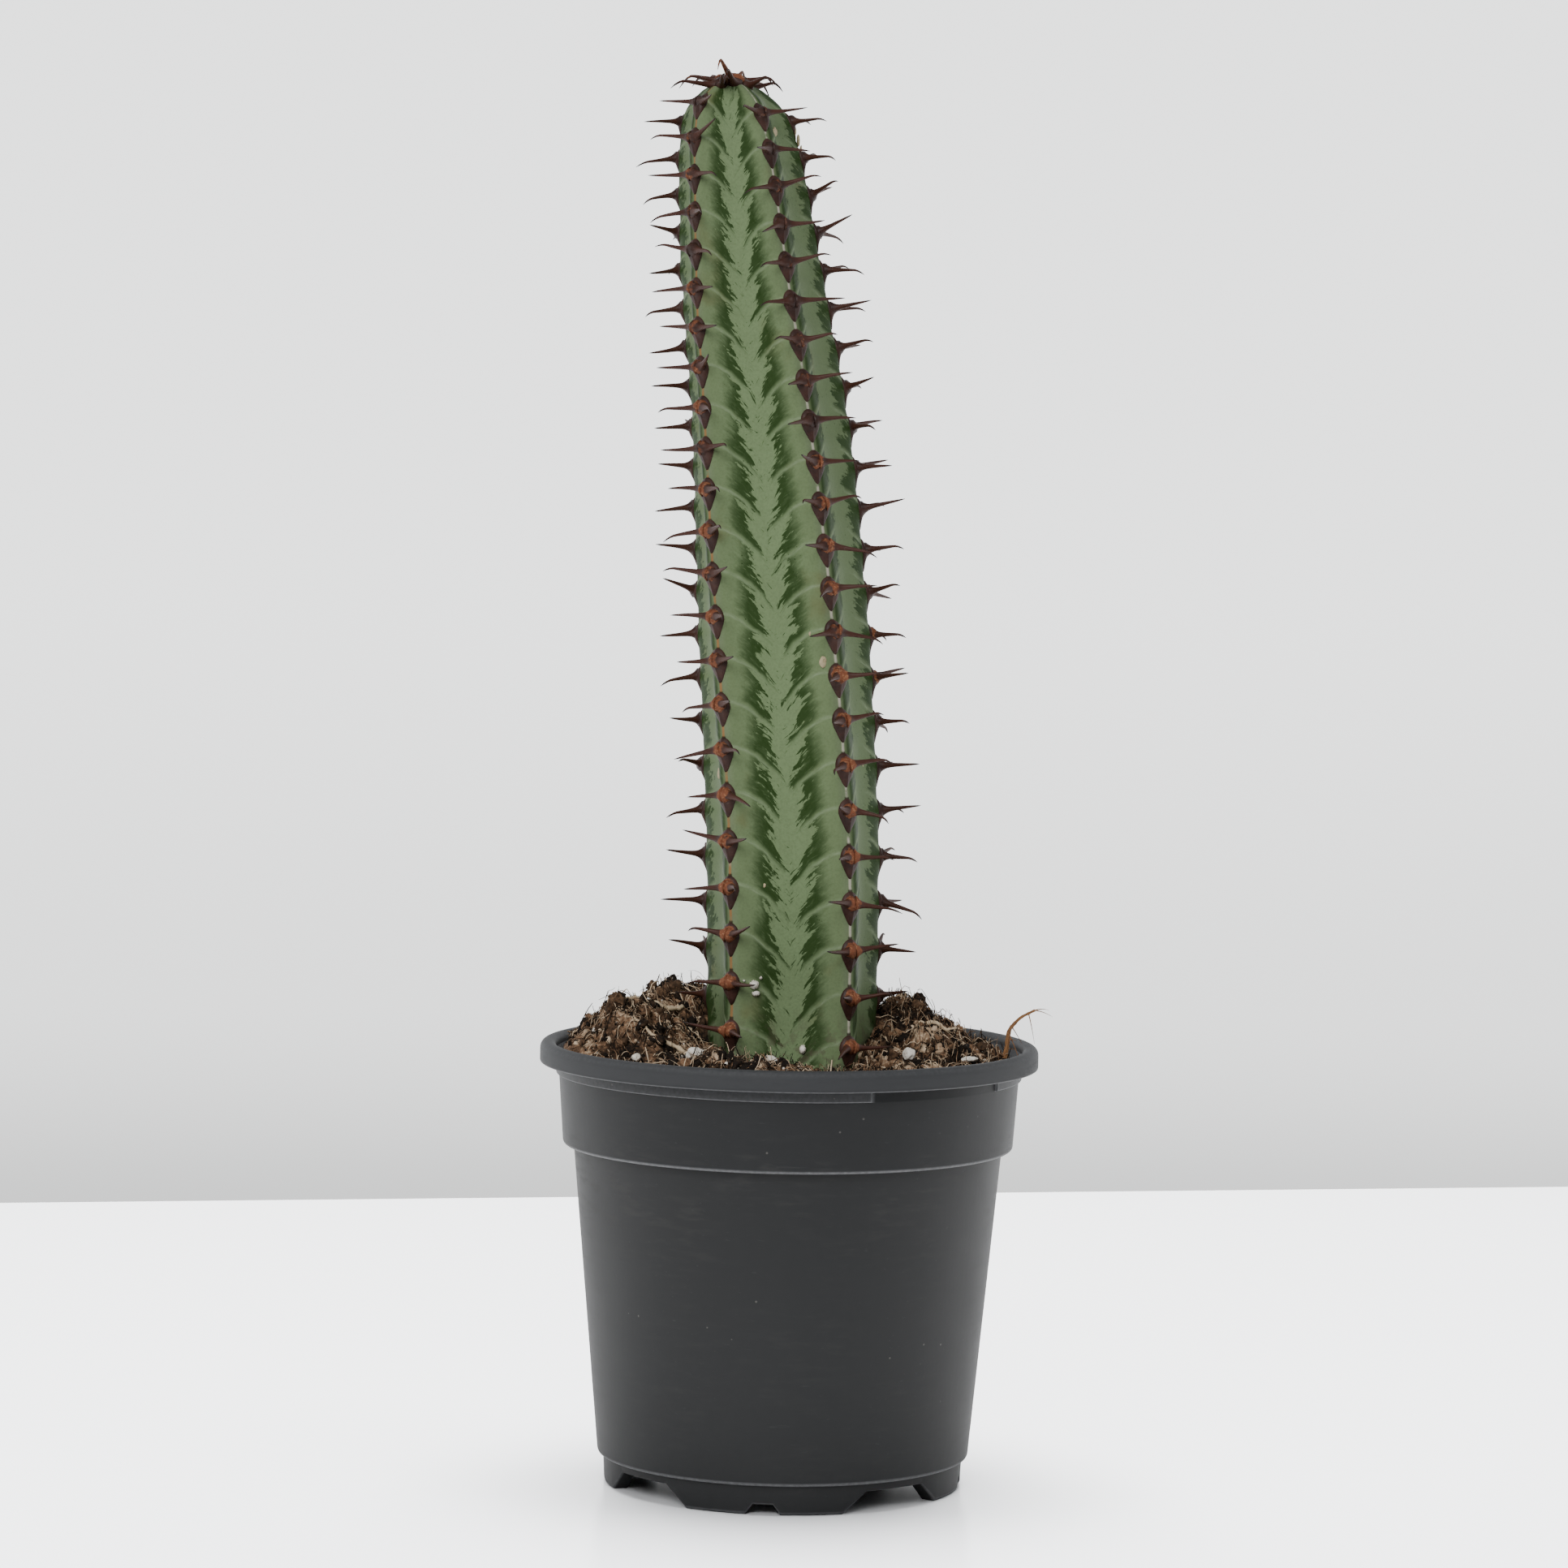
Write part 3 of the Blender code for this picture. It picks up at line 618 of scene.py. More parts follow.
def rounded(corners):
    """A closed outline from (radius, z, fillet, edge) corners, and each point's edge value: how
    much painted highlight its rounded edge gets.
    """
    outline, edge_highlights = [], []
    places = [np.array(corner[:2]) for corner in corners]
    for k, here in enumerate(places):
        fillet, edge = corners[k][2:]
        back = places[k - 1] - here
        on = places[(k + 1) % len(places)] - here
        back, on = back / np.linalg.norm(back), on / np.linalg.norm(on)
        cut = fillet / math.tan(math.acos(float(back @ on)) / 2)
        steps = 8 if fillet > 0.0009 else 4
        for t in np.linspace(0, 1, steps + 1):
            bow = (1 - t) ** 2 * back * cut + t**2 * on * cut
            outline.append(here + bow)
            edge_highlights.append(edge * math.sin(math.pi * t))
    return np.array(outline), np.array(edge_highlights)


def pot_outline(rim, top):
    mm = 0.001
    return rounded([(r, z, fillet * mm, edge) for r, z, fillet, edge in (
        (rim - LIP_INSET, top, 2.2, 0.6),
        (rim - LIP_INSET, top - 0.0025, 0.3, 0.0),
        (rim - 0.0066, top - 0.0057, 1.0, 0.0),
        (rim - 0.0080, top - 0.0268, 0.8, 0.0),
        (rim - 0.0110, top - 0.0289, 0.8, 0.0),
        (0.0510, 0.0094, 1.2, 0.0),
        (0.0060, 0.0094, 0.2, 0.0),
        (0.0060, FOOT_HEIGHT, 0.2, 0.0),
        (0.0456, FOOT_HEIGHT, 0.3, 0.0),
        (0.0456, 0.0, 0.5, 0.0),
        (0.0502, 0.0, 1.1, 0.6),
        (0.0506, FOOT_HEIGHT, 0.3, 0.0),
        (0.0522, FOOT_HEIGHT, 1.3, 1.0),
        (rim - 0.0098, top - 0.0287, 0.4, 0.0),
        (rim - 0.0068, top - 0.0287, 1.1, 1.0),
        (rim - COLLAR_INSET, top - 0.0089, 0.2, 0.0),
        (rim - LIP_INSET, top - 0.0090, 0.35, 1.0),
        (rim - LIP_INSET, top - 0.0054, 0.3, 0.0),
        (rim - 0.0032, top - 0.0026, 0.5, 0.0),
        (rim - 0.0015, top - 0.0026, 0.5, 0.0),
        (rim - 0.0013, top - 0.0058, 0.4, 0.0),
        (rim, top - 0.0058, 0.5, 0.8),
        (rim, top, 2.3, 0.5),
    )])


def pot_azimuths():
    """Even columns, with more where a foot, a notch or the band begins and ends."""
    columns = set(np.arange(0.0, 360.0, 1.25))
    for gap in BAND_GAPS:
        columns |= {a + b for a in gap for b in (-0.15, 0.15)}
    for foot in range(FOOT_COUNT):
        middle = FOOT_AZIMUTH + foot * 360.0 / FOOT_COUNT
        notch = [math.degrees(w / FOOT_RADIUS) for w in NOTCH_HALF_WIDTHS]
        for reach in (*FOOT_HALF_ANGLES, *notch):
            columns |= {(middle + s * reach) % 360 for s in (-1, 1)}
    return np.array(sorted(round(c, 4) for c in columns))


def foot_bottom(azimuths):
    """How high the foot ring's underside is at each azimuth."""
    pitch = 360.0 / FOOT_COUNT
    away = np.abs((azimuths - FOOT_AZIMUTH + pitch / 2) % pitch - pitch / 2)
    gap = np.clip((away - FOOT_HALF_ANGLES[0]) / np.ptp(FOOT_HALF_ANGLES), 0, 1)
    arc = np.radians(away) * FOOT_RADIUS
    notch = np.clip((NOTCH_HALF_WIDTHS[1] - arc) / np.ptp(NOTCH_HALF_WIDTHS), 0, 1)
    return FOOT_GAP_HEIGHT * gap + NOTCH_HEIGHT * notch


def drain(piece):
    """Cut the ring of drain holes through the base."""
    cutter = Bundle()
    spots = [towards(FOOT_AZIMUTH + (k + 0.5) * 360 / FOOT_COUNT, DRAIN_REACH)
             for k in range(FOOT_COUNT)]
    paths = [[s + (0, 0, 0.006), s + (0, 0, 0.012)] for s in spots]
    cutter.add(tubes(paths, np.full((FOOT_COUNT, 2), DRAIN_RADIUS), 32))
    holes = linked("drain_cutter", cutter.mesh("drain_cutter"))
    cut = piece.modifiers.new("drains", "BOOLEAN")
    cut.operation, cut.solver, cut.object = "DIFFERENCE", "EXACT", holes
    apply_modifiers(piece)
    bpy.data.objects.remove(holes)


def apply_modifiers(piece):
    seen = bpy.context.evaluated_depsgraph_get()
    bpy.context.view_layer.update()
    mesh = bpy.data.meshes.new_from_object(piece.evaluated_get(seen))
    piece.modifiers.clear()
    piece.data = mesh


def plastic_paint(settings):
    paint = Paint("moulded_charcoal_plastic", Specular_IOR_Level=0.30)
    edge = paint.value("edge")
    height, = paint.axes("Z")
    stretched = paint.node("ShaderNodeMapping", None,
                           {"Vector": paint.place, "Scale": (1.0, 1.0, 5.0)})
    clouds = paint.grain(0.030, 4)
    fine = paint.grain(0.0011, 4)
    smears = paint.grain(0.010, 5, stretched)
    scratches = paint.grain(0.0035, 3, paint.node(
        "ShaderNodeMapping", None, {"Vector": paint.place, "Rotation": (0.4, 0.3, 0.2),
                                    "Scale": (0.3, 4.0, 4.0)}))
    specks = paint.spots(0.0075, 0.055) * paint.grain(0.016, 1).rise(0.45, 0.6)
    lifted = height.rise(0.060, 0.098) * height.fall(0.098, 0.104) + height.rise(0.114, 0.124)
    dust = (smears.rise(0.46, 0.72) * (0.25 + 0.75 * lifted) * clouds.rise(0.35, 0.65)
            * settings.dust)
    # Scratches are real wear; the edge value adds painted highlights along the rounded edges, in
    # the same pale colour.
    wear_and_edge_highlight = (edge * (0.55 + 0.8 * (fine - 0.3)) + scratches.rise(0.66, 0.78) * 0.06).clamped()
    base = paint.mix(shade(settings.plastic, 0.85), settings.plastic, clouds)
    base = paint.mix(base, settings.scuff_and_highlight, wear_and_edge_highlight)
    base = paint.mix(base, (0.16, 0.15, 0.14), (dust * 0.25 + specks * 0.5).clamped())
    # The lip is painted in a plastic twice as light: a painted highlight where light from above
    # falls on it.
    painted_lip_highlight = height.rise(settings.height - 0.0062, settings.height - 0.0045)
    base = paint.mix(base, shade(settings.plastic, 2.0), painted_lip_highlight * (1.0 - wear_and_edge_highlight))
    roughness = (0.46 + clouds * 0.12 + dust * 0.25 + painted_lip_highlight * 0.14).clamped()
    relief = fine * 0.7 + paint.grain(0.0004, 2) * 0.3
    return paint.finish(base, roughness, relief, 0.00006, 0.35)


class EUPHORBIA_OT_pot(Operator):
    """Mould the nursery pot"""
    bl_idname = "euphorbia.pot"
    bl_label = "Nursery Pot"

    def execute(self, context):
        settings = context.scene.euphorbia_pot
        outline, edge_highlights = pot_outline(settings.rim_radius, settings.height)
        outline, edge_highlights = outline[::-1], edge_highlights[::-1]
        azimuths = pot_azimuths()
        radius = np.repeat(outline[:, :1], len(azimuths), 1)
        z = np.repeat(outline[:, 1:], len(azimuths), 1)
        collar = settings.rim_radius - COLLAR_INSET
        band = ((z > settings.height - BAND_HEIGHTS[0]) & (z < settings.height - BAND_HEIGHTS[1])
                & (radius > collar) & (radius < settings.rim_radius - 0.0040))
        open_here = np.zeros(len(azimuths), bool)
        for low, high in BAND_GAPS:
            open_here |= (azimuths > low) & (azimuths < high)
        radius = np.where(band & open_here, collar, radius)
        foot = (z < FOOT_HEIGHT) & (radius > 0.04)
        lift = foot_bottom(azimuths) * (1 - z / FOOT_HEIGHT)
        z = np.where(foot, z + lift, z)
        # The edge value is painted highlight: along the rounded edges, none where the band is open,
        # and strong on the band's cut ends.
        ends = np.zeros(len(azimuths), bool)
        for end in np.ravel(BAND_GAPS):
            ends |= np.abs(azimuths - end) < 0.2
        edge = np.where(band & open_here, 0.0, edge_highlights[:, None])
        edge = np.where(band & ends, 0.9, edge)
        edge = np.where(band & ~open_here, np.maximum(edge, BAND_EDGE_HIGHLIGHT), edge)
        shell = Bundle(cells=(1, 1))
        walked = np.concatenate([[0.0], np.cumsum(np.linalg.norm(
            np.diff(outline, axis=0, append=outline[:1]), axis=1))])
        shell.add(towards(azimuths, radius, z), wrap=(True, True), capped=False,
                  rows_at=walked / walked[-1], edge=edge)
        drain(shell.put("pot_shell", plastic_paint(settings), "pot_plastic", "nursery_pot",
                        sharp=38))
        return {"FINISHED"}


# ---------------------------------------------------------------- stem

# Each face has its own seed and each rib its share of cork. Scars are (rib, share, height, size).
FACE_COLUMNS = 26
RING_PITCH = 0.0005
CROWN_STEPS = 8
FACE_SEED = (0.0, 5.3, 11.7, 17.1, 23.9)
RIB_CORK = (0.75, 0.12, 0.35, 0.45, 0.30)
SCARS = ((0, 0.860, 0.2323, 0.0012), (0, 0.300, 0.1700, 0.0005), (1, 0.35, 0.3780, 0.0011),
         (0, 0.780, 0.2400, 0.0005), (1, 0.62, 0.2030, 0.0005), (3, 0.50, 0.2500, 0.0014),
         (2, 0.40, 0.3100, 0.0010), (4, 0.55, 0.2000, 0.0012), (2, 0.62, 0.1750, 0.0008),
         (2, -0.03, 0.3790, 0.0011), (2, -0.02, 0.3765, 0.0014), (2, -0.03, 0.3738, 0.0010))


def skin_paint(settings):
    """Green skin: feathered dark bands between the ribs, with a pale vein over each podarium."""
    paint = Paint("waxy_green_skin", Specular_IOR_Level=0.05)
    across, count_before = paint.pair("before_rib")
    _, count_after = paint.pair("after_rib")
    front, seed = paint.pair("face")
    cork_start, cork_end = paint.pair("crest")
    later = across > 0.5
    near = across.least(1.0 - across)
    count = count_before * (1.0 - later) + count_after * later
    # A vein leaves its rib just over a shield and sinks towards the middle of the front face,
    # and climbs away on the others.
    sink = 0.05 + near * (1.5 + near * (-8.7 + near * 5.0))
    climb = 0.05 + near * (1.7 - near * 1.2)
    wobble = (paint.grain(0.010, 2) - 0.5) * 0.9
    phase = count - (sink * front + climb * (1.0 - front)) + wobble * near
    step = phase.fraction()
    streak_place = paint.vector(phase * 5.5, near * 7.0 + across * 2.0, seed * 9.0 + later * 3.0)
    streaks = paint.grain(1.0, 4, streak_place, 0.66)
    fine_place = paint.vector(phase * 15.0, near * 13.0, seed * 7.0 + later * 5.0)
    fine_streaks = paint.grain(1.0, 3, fine_place, 0.6)
    tier_place = paint.vector(phase * 0.9, later * 7.0, seed)
    tiers = paint.grain(1.0, 1, tier_place) - 0.5
    blotches = paint.grain(0.012, 3)
    jag = (streaks - 0.5) * 0.46 + (fine_streaks - 0.5) * 0.20
    # The front face's band reaches furthest in just over a vein.
    inner = 0.345 + 0.125 * (1.0 - step) ** 2.0 + jag + tiers * 0.16
    outer = 0.212 + (blotches - 0.5) * 0.12 + 0.05 * step + jag * 0.35
    front_band = near.rise(outer - 0.06, outer + 0.075) * near.fall(inner - 0.014, inner + 0.010)
    high = 0.25 + 0.09 * (1.0 - step) + jag * 1.1 + tiers * 0.2
    side_band = near.rise(0.022, 0.075) * near.fall(high - 0.05, high + 0.02)
    vein = (step.fall(0.0, 0.085) + step.rise(0.950, 1.0)) * near.fall(0.20, 0.44)
    vein = vein * (0.10 + 2.0 * (fine_streaks - 0.3)).clamped() * near.rise(0.015, 0.06)
    gap_in_band = step.fall(0.03, 0.17) * 0.85 + step.rise(0.92, 1.0) * 0.4
    band = (front_band * front + side_band * (1.0 - front)) * (1.0 - gap_in_band)
    band = band * (0.50 + 0.40 * fine_streaks.rise(0.25, 0.50)
                   + 0.35 * streaks.rise(0.40, 0.60)).clamped()
    islands = (streaks * 0.6 + fine_streaks * 0.4).rise(0.585, 0.62) * near.rise(0.32, 0.42) * front
    specks = paint.spots(0.0016, 0.16) * blotches.rise(0.45, 0.62) * near.rise(0.15, 0.35)
    powder = paint.grain(0.0007, 3)

    skin = paint.mix(settings.flank, settings.pale,
                     (near.rise(0.12, 0.42) * 0.8 + (blotches - 0.5) * 0.8).clamped())
    # Every face but the front one is darkened towards a deep flank green: painted shade.
    skin = paint.mix(skin, shade(settings.flank, 0.55), (1.0 - front) * 0.45)
    skin = paint.mix(skin, shade(settings.flank, 0.70), powder.rise(0.35, 0.75) * 0.4)
    olive = paint.grain(0.020, 3, roughness=0.6).rise(0.54, 0.70) * near.fall(0.25, 0.42)
    skin = paint.mix(skin, (0.140, 0.128, 0.050), olive * 0.45)
    skin = paint.mix(skin, settings.dark,
                     (band * 0.95 + islands * 0.8 + specks * 0.6).clamped())
    skin = paint.mix(skin, settings.vein, vein.clamped() * 0.8)
    # Waxy bloom, the dry line along each crest, and the dark eye over each shield.
    bloom = near.fall(0.02, 0.12) * (0.2 + 0.6 * blotches) * (0.10 + 0.90 * front)
    skin = paint.mix(skin, (0.190, 0.205, 0.160), bloom.clamped() * 0.5)
    dry = near.fall(0.008, 0.024) * (paint.grain(0.003, 4).rise(0.30, 0.50))
    corky = cork_start * (1.0 - later) + cork_end * later
    dryness = paint.mix((0.50, 0.47, 0.38), settings.cork,
                        (corky + (blotches - 0.5) * 1.2).rise(0.3, 0.6))
    skin = paint.mix(skin, dryness, dry * 0.85)
    bud = (count + 0.06).fraction()
    over = bud.rise(0.30, 0.345) * bud.fall(0.385, 0.43) * near.fall(0.018, 0.034)
    skin = paint.mix(skin, (0.030, 0.024, 0.014), over * 0.9)
    height, = paint.axes("Z")
    splashed = height.fall(PEAT_LEVEL, PEAT_LEVEL + 0.022) * paint.grain(0.0032, 4).rise(0.5, 0.62)
    skin = paint.mix(skin, (0.105, 0.085, 0.060), splashed * 0.6)
    roughness = (0.56 + (blotches - 0.5) * 0.25 - band * 0.06 + dry * 0.25).clamped()
    relief = (vein * 0.5 + fine_streaks * 0.35 - band * 0.15 + dry * paint.grain(0.0012, 3)
              + powder * 0.25)
    return paint.finish(skin, roughness, relief, 0.00022, 0.6)


class EUPHORBIA_OT_stem(Operator):
    """Grow the ribbed green column"""
    bl_idname = "euphorbia.stem"
    bl_label = "Stem"

    def execute(self, context):
        settings = context.scene.euphorbia_stem
        top = STEM_FOOT + STEM_LENGTH
        heights = np.linspace(STEM_FOOT, top, round(STEM_LENGTH / RING_PITCH))
        share = 0.5 - 0.5 * np.cos(np.linspace(0, math.pi, FACE_COLUMNS + 1))
        column = Bundle(cells=(RIB_COUNT, 1))
        for rib in range(RIB_COUNT):
            swell = 0.00028 * rough(surface(rib, share[None], heights[:, None]), 0.011, 2, 4.4)
            face = surface(rib, share[None], heights[:, None], swell, settings.scallop)
            foot = np.broadcast_to(stem_centre(STEM_FOOT), face[:1].shape)
            closing = []
            for turn in np.linspace(0, math.pi / 2, CROWN_STEPS)[1:]:
                middle = stem_centre(top)
                ring = middle + (face[-1:] - middle) * math.cos(turn)
                closing.append(ring + (0, 0, 0.0012 * math.sin(turn)))
            face = np.concatenate([foot, face, *closing])
            levels = np.concatenate([[STEM_FOOT], heights, np.full(CROWN_STEPS - 1, top)])
            flat = np.broadcast_to(share, face.shape[:2])
            counts = [np.broadcast_to(podarium_count(k, levels)[:, None], flat.shape)
                      for k in (rib, (rib + 1) % RIB_COUNT)]
            about = np.stack([np.full(flat.shape, float(rib == 0)),
                              np.full(flat.shape, FACE_SEED[rib])], -1)
            crest = np.broadcast_to((RIB_CORK[rib], RIB_CORK[(rib + 1) % RIB_COUNT]), about.shape)
            column.add(face, wrap=(False, False), capped=False,
                       maps={"before_rib": np.stack([flat, counts[0]], -1),
                             "after_rib": np.stack([flat, counts[1]], -1), "face": about,
                             "crest": crest})
        column.put("stem_column", skin_paint(settings), "stem_skin", "euphorbia_stem",
                   weld=0.00001)
        self.scars()
        return {"FINISHED"}

    def scars(self):
        """Small pale scabs standing proud of the skin."""
        scabs = Bundle()
        for rib, share, height, size in SCARS:
            middle = surface(rib, share, height)
            out = unit(middle - stem_centre(height))
            scab = balls(middle[None], np.full((1, 3), size), 9, 14)
            away = scab - middle
            away *= (1 + 0.25 * rough(scab, size, 2, 6.0))[..., None]
            away -= 0.72 * out * dot(away, out)
            scabs.add(middle + away * (1.0, 1.0, 1.3))
        paint = stone_paint("dry_scab", (0.50, 0.42, 0.26), (0.28, 0.20, 0.10), 0.0010)
        scabs.put("stem_scabs", paint, "stem_skin")


# ---------------------------------------------------------------- shields and spines

# Shields from their hidden underside to their top: each ring's share of the outline, and its
# share of the thickness. Corky shields are (rib, height).
SHIELD_SIDES = 24
SHIELD_HALF_WIDTH = 0.0031
SHIELD_ABOVE = 0.0040
SHIELD_BELOW = 0.0056
SHIELD_THICKNESS = 0.0013
SHIELD_SHARES = np.array([0.55, 0.97, 1.02, 0.99, 0.93, 0.83, 0.70, 0.54, 0.36, 0.16])
SHIELD_LIFTS = np.array([-0.6, -0.5, -0.1, 0.16, 0.34, 0.50, 0.66, 0.80, 0.92, 1.0])
CORKY_SHIELDS = ((1, 0.2288), (2, 0.2277), (2, 0.2390))
SPINE_SIDES = 10
SPINE_STEPS = np.linspace(0, 1, 14)
SPINE_ASIDE, SPINE_ABOVE, SPINE_OUT = 0.0008, 0.0007, 0.0002
RIB_SPREAD = (0.16, 0.03, -0.16, 0.0, 0.0)
RIB_RUST = (1.0, 1.0, 0.35, 0.55, 0.35)
RUSTY_PODARIA = 18
CROWN_REACH = 0.0056
CROWN_BUDS = ((0, 0.0), (40, 0.0028), (115, 0.0030), (190, 0.0032), (255, 0.0029), (325, 0.0031))
GOLDEN_ANGLE = 137.5


def horn_paint(settings):
    """Dark horn, redder along the spines, with rusty cork in the middle of some shields."""
    paint = Paint("spine_horn", Specular_IOR_Level=0.30)
    reach, rust = paint.value("reach"), paint.value("rust")
    clouds, fine = paint.grain(0.0032, 4), paint.grain(0.0007, 3)
    base = paint.mix(settings.horn, shade(settings.horn, 1.9),
                     clouds.rise(0.35, 0.7))
    red = reach.rise(0.06, 0.25) * reach.fall(0.75, 0.97) * (0.35 + clouds * 0.75)
    base = paint.mix(base, settings.red, red.clamped())
    base = paint.mix(base, (0.018, 0.011, 0.010), reach.rise(0.82, 0.98) * 0.8)
    patchy = paint.grain(0.0016, 4, roughness=0.65)
    corky = (rust * (2.2 * patchy - 0.15)).rise(0.48, 0.80)
    cork = paint.mix(settings.rust, (0.420, 0.215, 0.110), fine.rise(0.50, 0.72) * 0.8)
    base = paint.mix(base, cork, (corky * (0.45 + fine * 0.7)).clamped())
    base = paint.mix(base, (0.17, 0.14, 0.13), fine.rise(0.62, 0.80) * 0.35)
    return paint.finish(base, (0.42 + clouds * 0.2 + corky * 0.25).clamped(),
                        clouds * 0.6 + fine * 0.4, 0.00012, 0.6)


def shield_grid(rib, height, size, seed, scallop):
    """A domed teardrop plate laid over the rib, rows from its hidden underside to its top."""
    turn = np.arange(SHIELD_SIDES) * 2 * math.pi / SHIELD_SIDES
    rise, below = np.sin(turn), np.clip(-np.sin(turn), 0, 1)
    shares, lifts = SHIELD_SHARES[:, None], SHIELD_LIFTS[:, None]
    up = np.where(rise > 0, SHIELD_ABOVE * rise,
                  SHIELD_BELOW * rise * (0.82 + 0.18 * np.abs(rise) ** 3))
    side = SHIELD_HALF_WIDTH * np.cos(turn) * (1 - 0.42 * below ** 1.3) * 1.06
    a = shares * side * size
    b = shares * up * size
    proud = np.clip(lifts, 0, 1)
    lumpy = 0.10 * rough(np.stack([a, b, np.full_like(a, seed)], -1), 0.0022, 2, seed)
    lift = (lifts + lumpy * proud) * SHIELD_THICKNESS * size * (1 - 0.35 * below * proud)
    return surface(rib, a / face_width(height), height + b, lift, scallop)


def face_width(height):
    half = np.radians((360 - 2 * along(FRONT_HALF_ANGLE, height)) / (RIB_COUNT - 1) / 2)
    return 2 * STEM_RADIUS * along(GIRTH, height) * np.sin(half)


def add_spine(bundle, root, course, size, rust):
    """A horn that flares at its root. Its course: direction, reach, bend, and hook at the tip."""
    direction, reach, bend, hook = course
    t = SPINE_STEPS[:, None]
    curl = np.clip((t - 0.72) / 0.28, 0, 1) ** 2
    path = root + reach * (direction * t + bend * t**2 + hook * curl)
    flare = 0.00135 * np.exp(-((t.T / 0.11) ** 1.25))
    radii = size * (flare + 0.00086 * (1 - t.T) ** 0.50 * (1 - 0.35 * t.T) + 0.00006)
    bundle.add(tubes(path[None], radii, SPINE_SIDES), reach=t[None], rust=rust)


class EUPHORBIA_OT_spines(Operator):
    """Set a shield with a pair of spines on every podarium"""
    bl_idname = "euphorbia.spines"
    bl_label = "Spine Rows"

    def execute(self, context):
        settings = context.scene.euphorbia_spines
        scallop = context.scene.euphorbia_stem.scallop
        paint = horn_paint(settings)
        luck = np.random.default_rng(41)
        for rib, name in enumerate(RIBS):
            row = Bundle()
            for number in rib_podaria(rib):
                height = podarium_height(rib, number)
                size = 0.62 + 0.38 * float(along(GIRTH, height)) ** 1.2
                old = max(0.0, 1 - number / RUSTY_PODARIA)
                rusty = RIB_RUST[rib] * (luck.uniform(0.10, 0.62) + 0.90 * old)
                if any(rib == k and abs(height - z) < 0.006 for k, z in CORKY_SHIELDS):
                    rusty = 1.7
                grid = shield_grid(rib, height, size, luck.uniform(0, 50), scallop)
                turn = np.arange(SHIELD_SIDES) * 2 * math.pi / SHIELD_SIDES
                across = SHIELD_SHARES[:, None] * np.cos(turn) / 0.62
                upward = (SHIELD_SHARES[:, None] * np.sin(turn) - 0.30) / 0.50
                cork = rusty * 1.35 * np.exp(-(across**2 + upward**2))
                row.add(grid, reach=0.0, rust=cork)
                out = towards(rib_azimuth(rib, height))
                side = np.cross(out, UP)
                slope = float(along(LEAN, height + 0.001) - along(LEAN, height - 0.001)) / 0.002
                for way in (-1.0, 1.0):
                    spread = settings.spread + RIB_SPREAD[rib] + math.radians(luck.normal(0, 9))
                    lean = math.radians(luck.normal(1.5, 7))
                    direction = (out * math.cos(spread) - way * side * math.sin(spread))
                    direction = unit(direction + UP * (math.tan(lean) - slope * direction[0]))
                    root = surface(rib, way * SPINE_ASIDE * size / face_width(height),
                                   height + SPINE_ABOVE * size, SPINE_OUT)
                    reach = settings.length * (0.72 + 0.28 * size) * luck.uniform(0.86, 1.10)
                    bend = luck.normal(0, 0.05) * UP + 0.06 * out + luck.normal(0, 0.04) * side
                    hooked = luck.uniform() < 0.4
                    hook = (-0.10 * UP + luck.normal(0, 0.06) * side) * hooked
                    rust = rusty * 1.3 * np.exp(-((SPINE_STEPS[:, None] / 0.15) ** 2))
                    add_spine(row, root, (direction, reach, bend, hook), size, rust)
            row.put(f"spines_{name}", paint, "horn", f"spine_row_{name}")
        self.crown(settings, paint, luck)
        return {"FINISHED"}

    def crown(self, settings, paint, luck):
        """Young shields and crossing, hooked spines at the growing tip."""
        tuft = Bundle()
        top = STEM_FOOT + STEM_LENGTH
        centre = stem_centre(top)
        for k in range(settings.crown_count):
            out = towards(k * GOLDEN_ANGLE + luck.normal(0, 12))
            side = np.cross(out, UP)
            share = math.sqrt((k + 0.5) / settings.crown_count)
            root = centre + out * CROWN_REACH * share + UP * (0.0008 - 0.0028 * share**2)
            climb = math.radians(luck.uniform(0, 26) + 9 * (1 - share))
            swing = luck.choice((-1.0, 1.0)) * luck.uniform(0.3, 1.1)
            direction = unit(out * math.cos(climb) + side * swing * 0.8 + UP * math.sin(climb))
            reach = luck.uniform(0.0092, 0.0130)
            bend = 0.10 * UP * luck.uniform(-0.4, 1.0) + 0.10 * out
            hook = -0.30 * UP * luck.uniform(0.6, 1.3) + 0.04 * out
            add_spine(tuft, root, (direction, reach, bend, hook), 1.05, 0.9 * (1 - share))
        spots = np.array([centre + towards(azimuth, away) + UP * (0.0012 - 0.25 * away)
                          for azimuth, away in CROWN_BUDS])
        sizes = np.array([(0.0019, 0.0019, 0.0016)] * 6) * luck.uniform(0.8, 1.15, (6, 1))
        buds = balls(spots, sizes, 12, 16)
        buds = buds + 0.00025 * rough(buds, 0.0012, 2, 8.8)[..., None] * UP
        tuft.add(buds, reach=0.0, rust=1.0)
        tuft.put("crown_tuft", paint, "horn")


# ---------------------------------------------------------------- peat and loose pieces

PEAT_COLUMNS = 320
PEAT_ROWS = 120
PEAT_CORE = 0.012
PEAT_BOTTOM = 0.1000
PEAT_RIM_DEPTH = 0.0015
PEAT_TAPER = 0.0012
SCATTER_CORE = 0.020
CLODS_APART = 45
CLODS_PER_HEAP = 34
FIBRE_POINTS = 6
FIBRE_RADIUS = 0.061


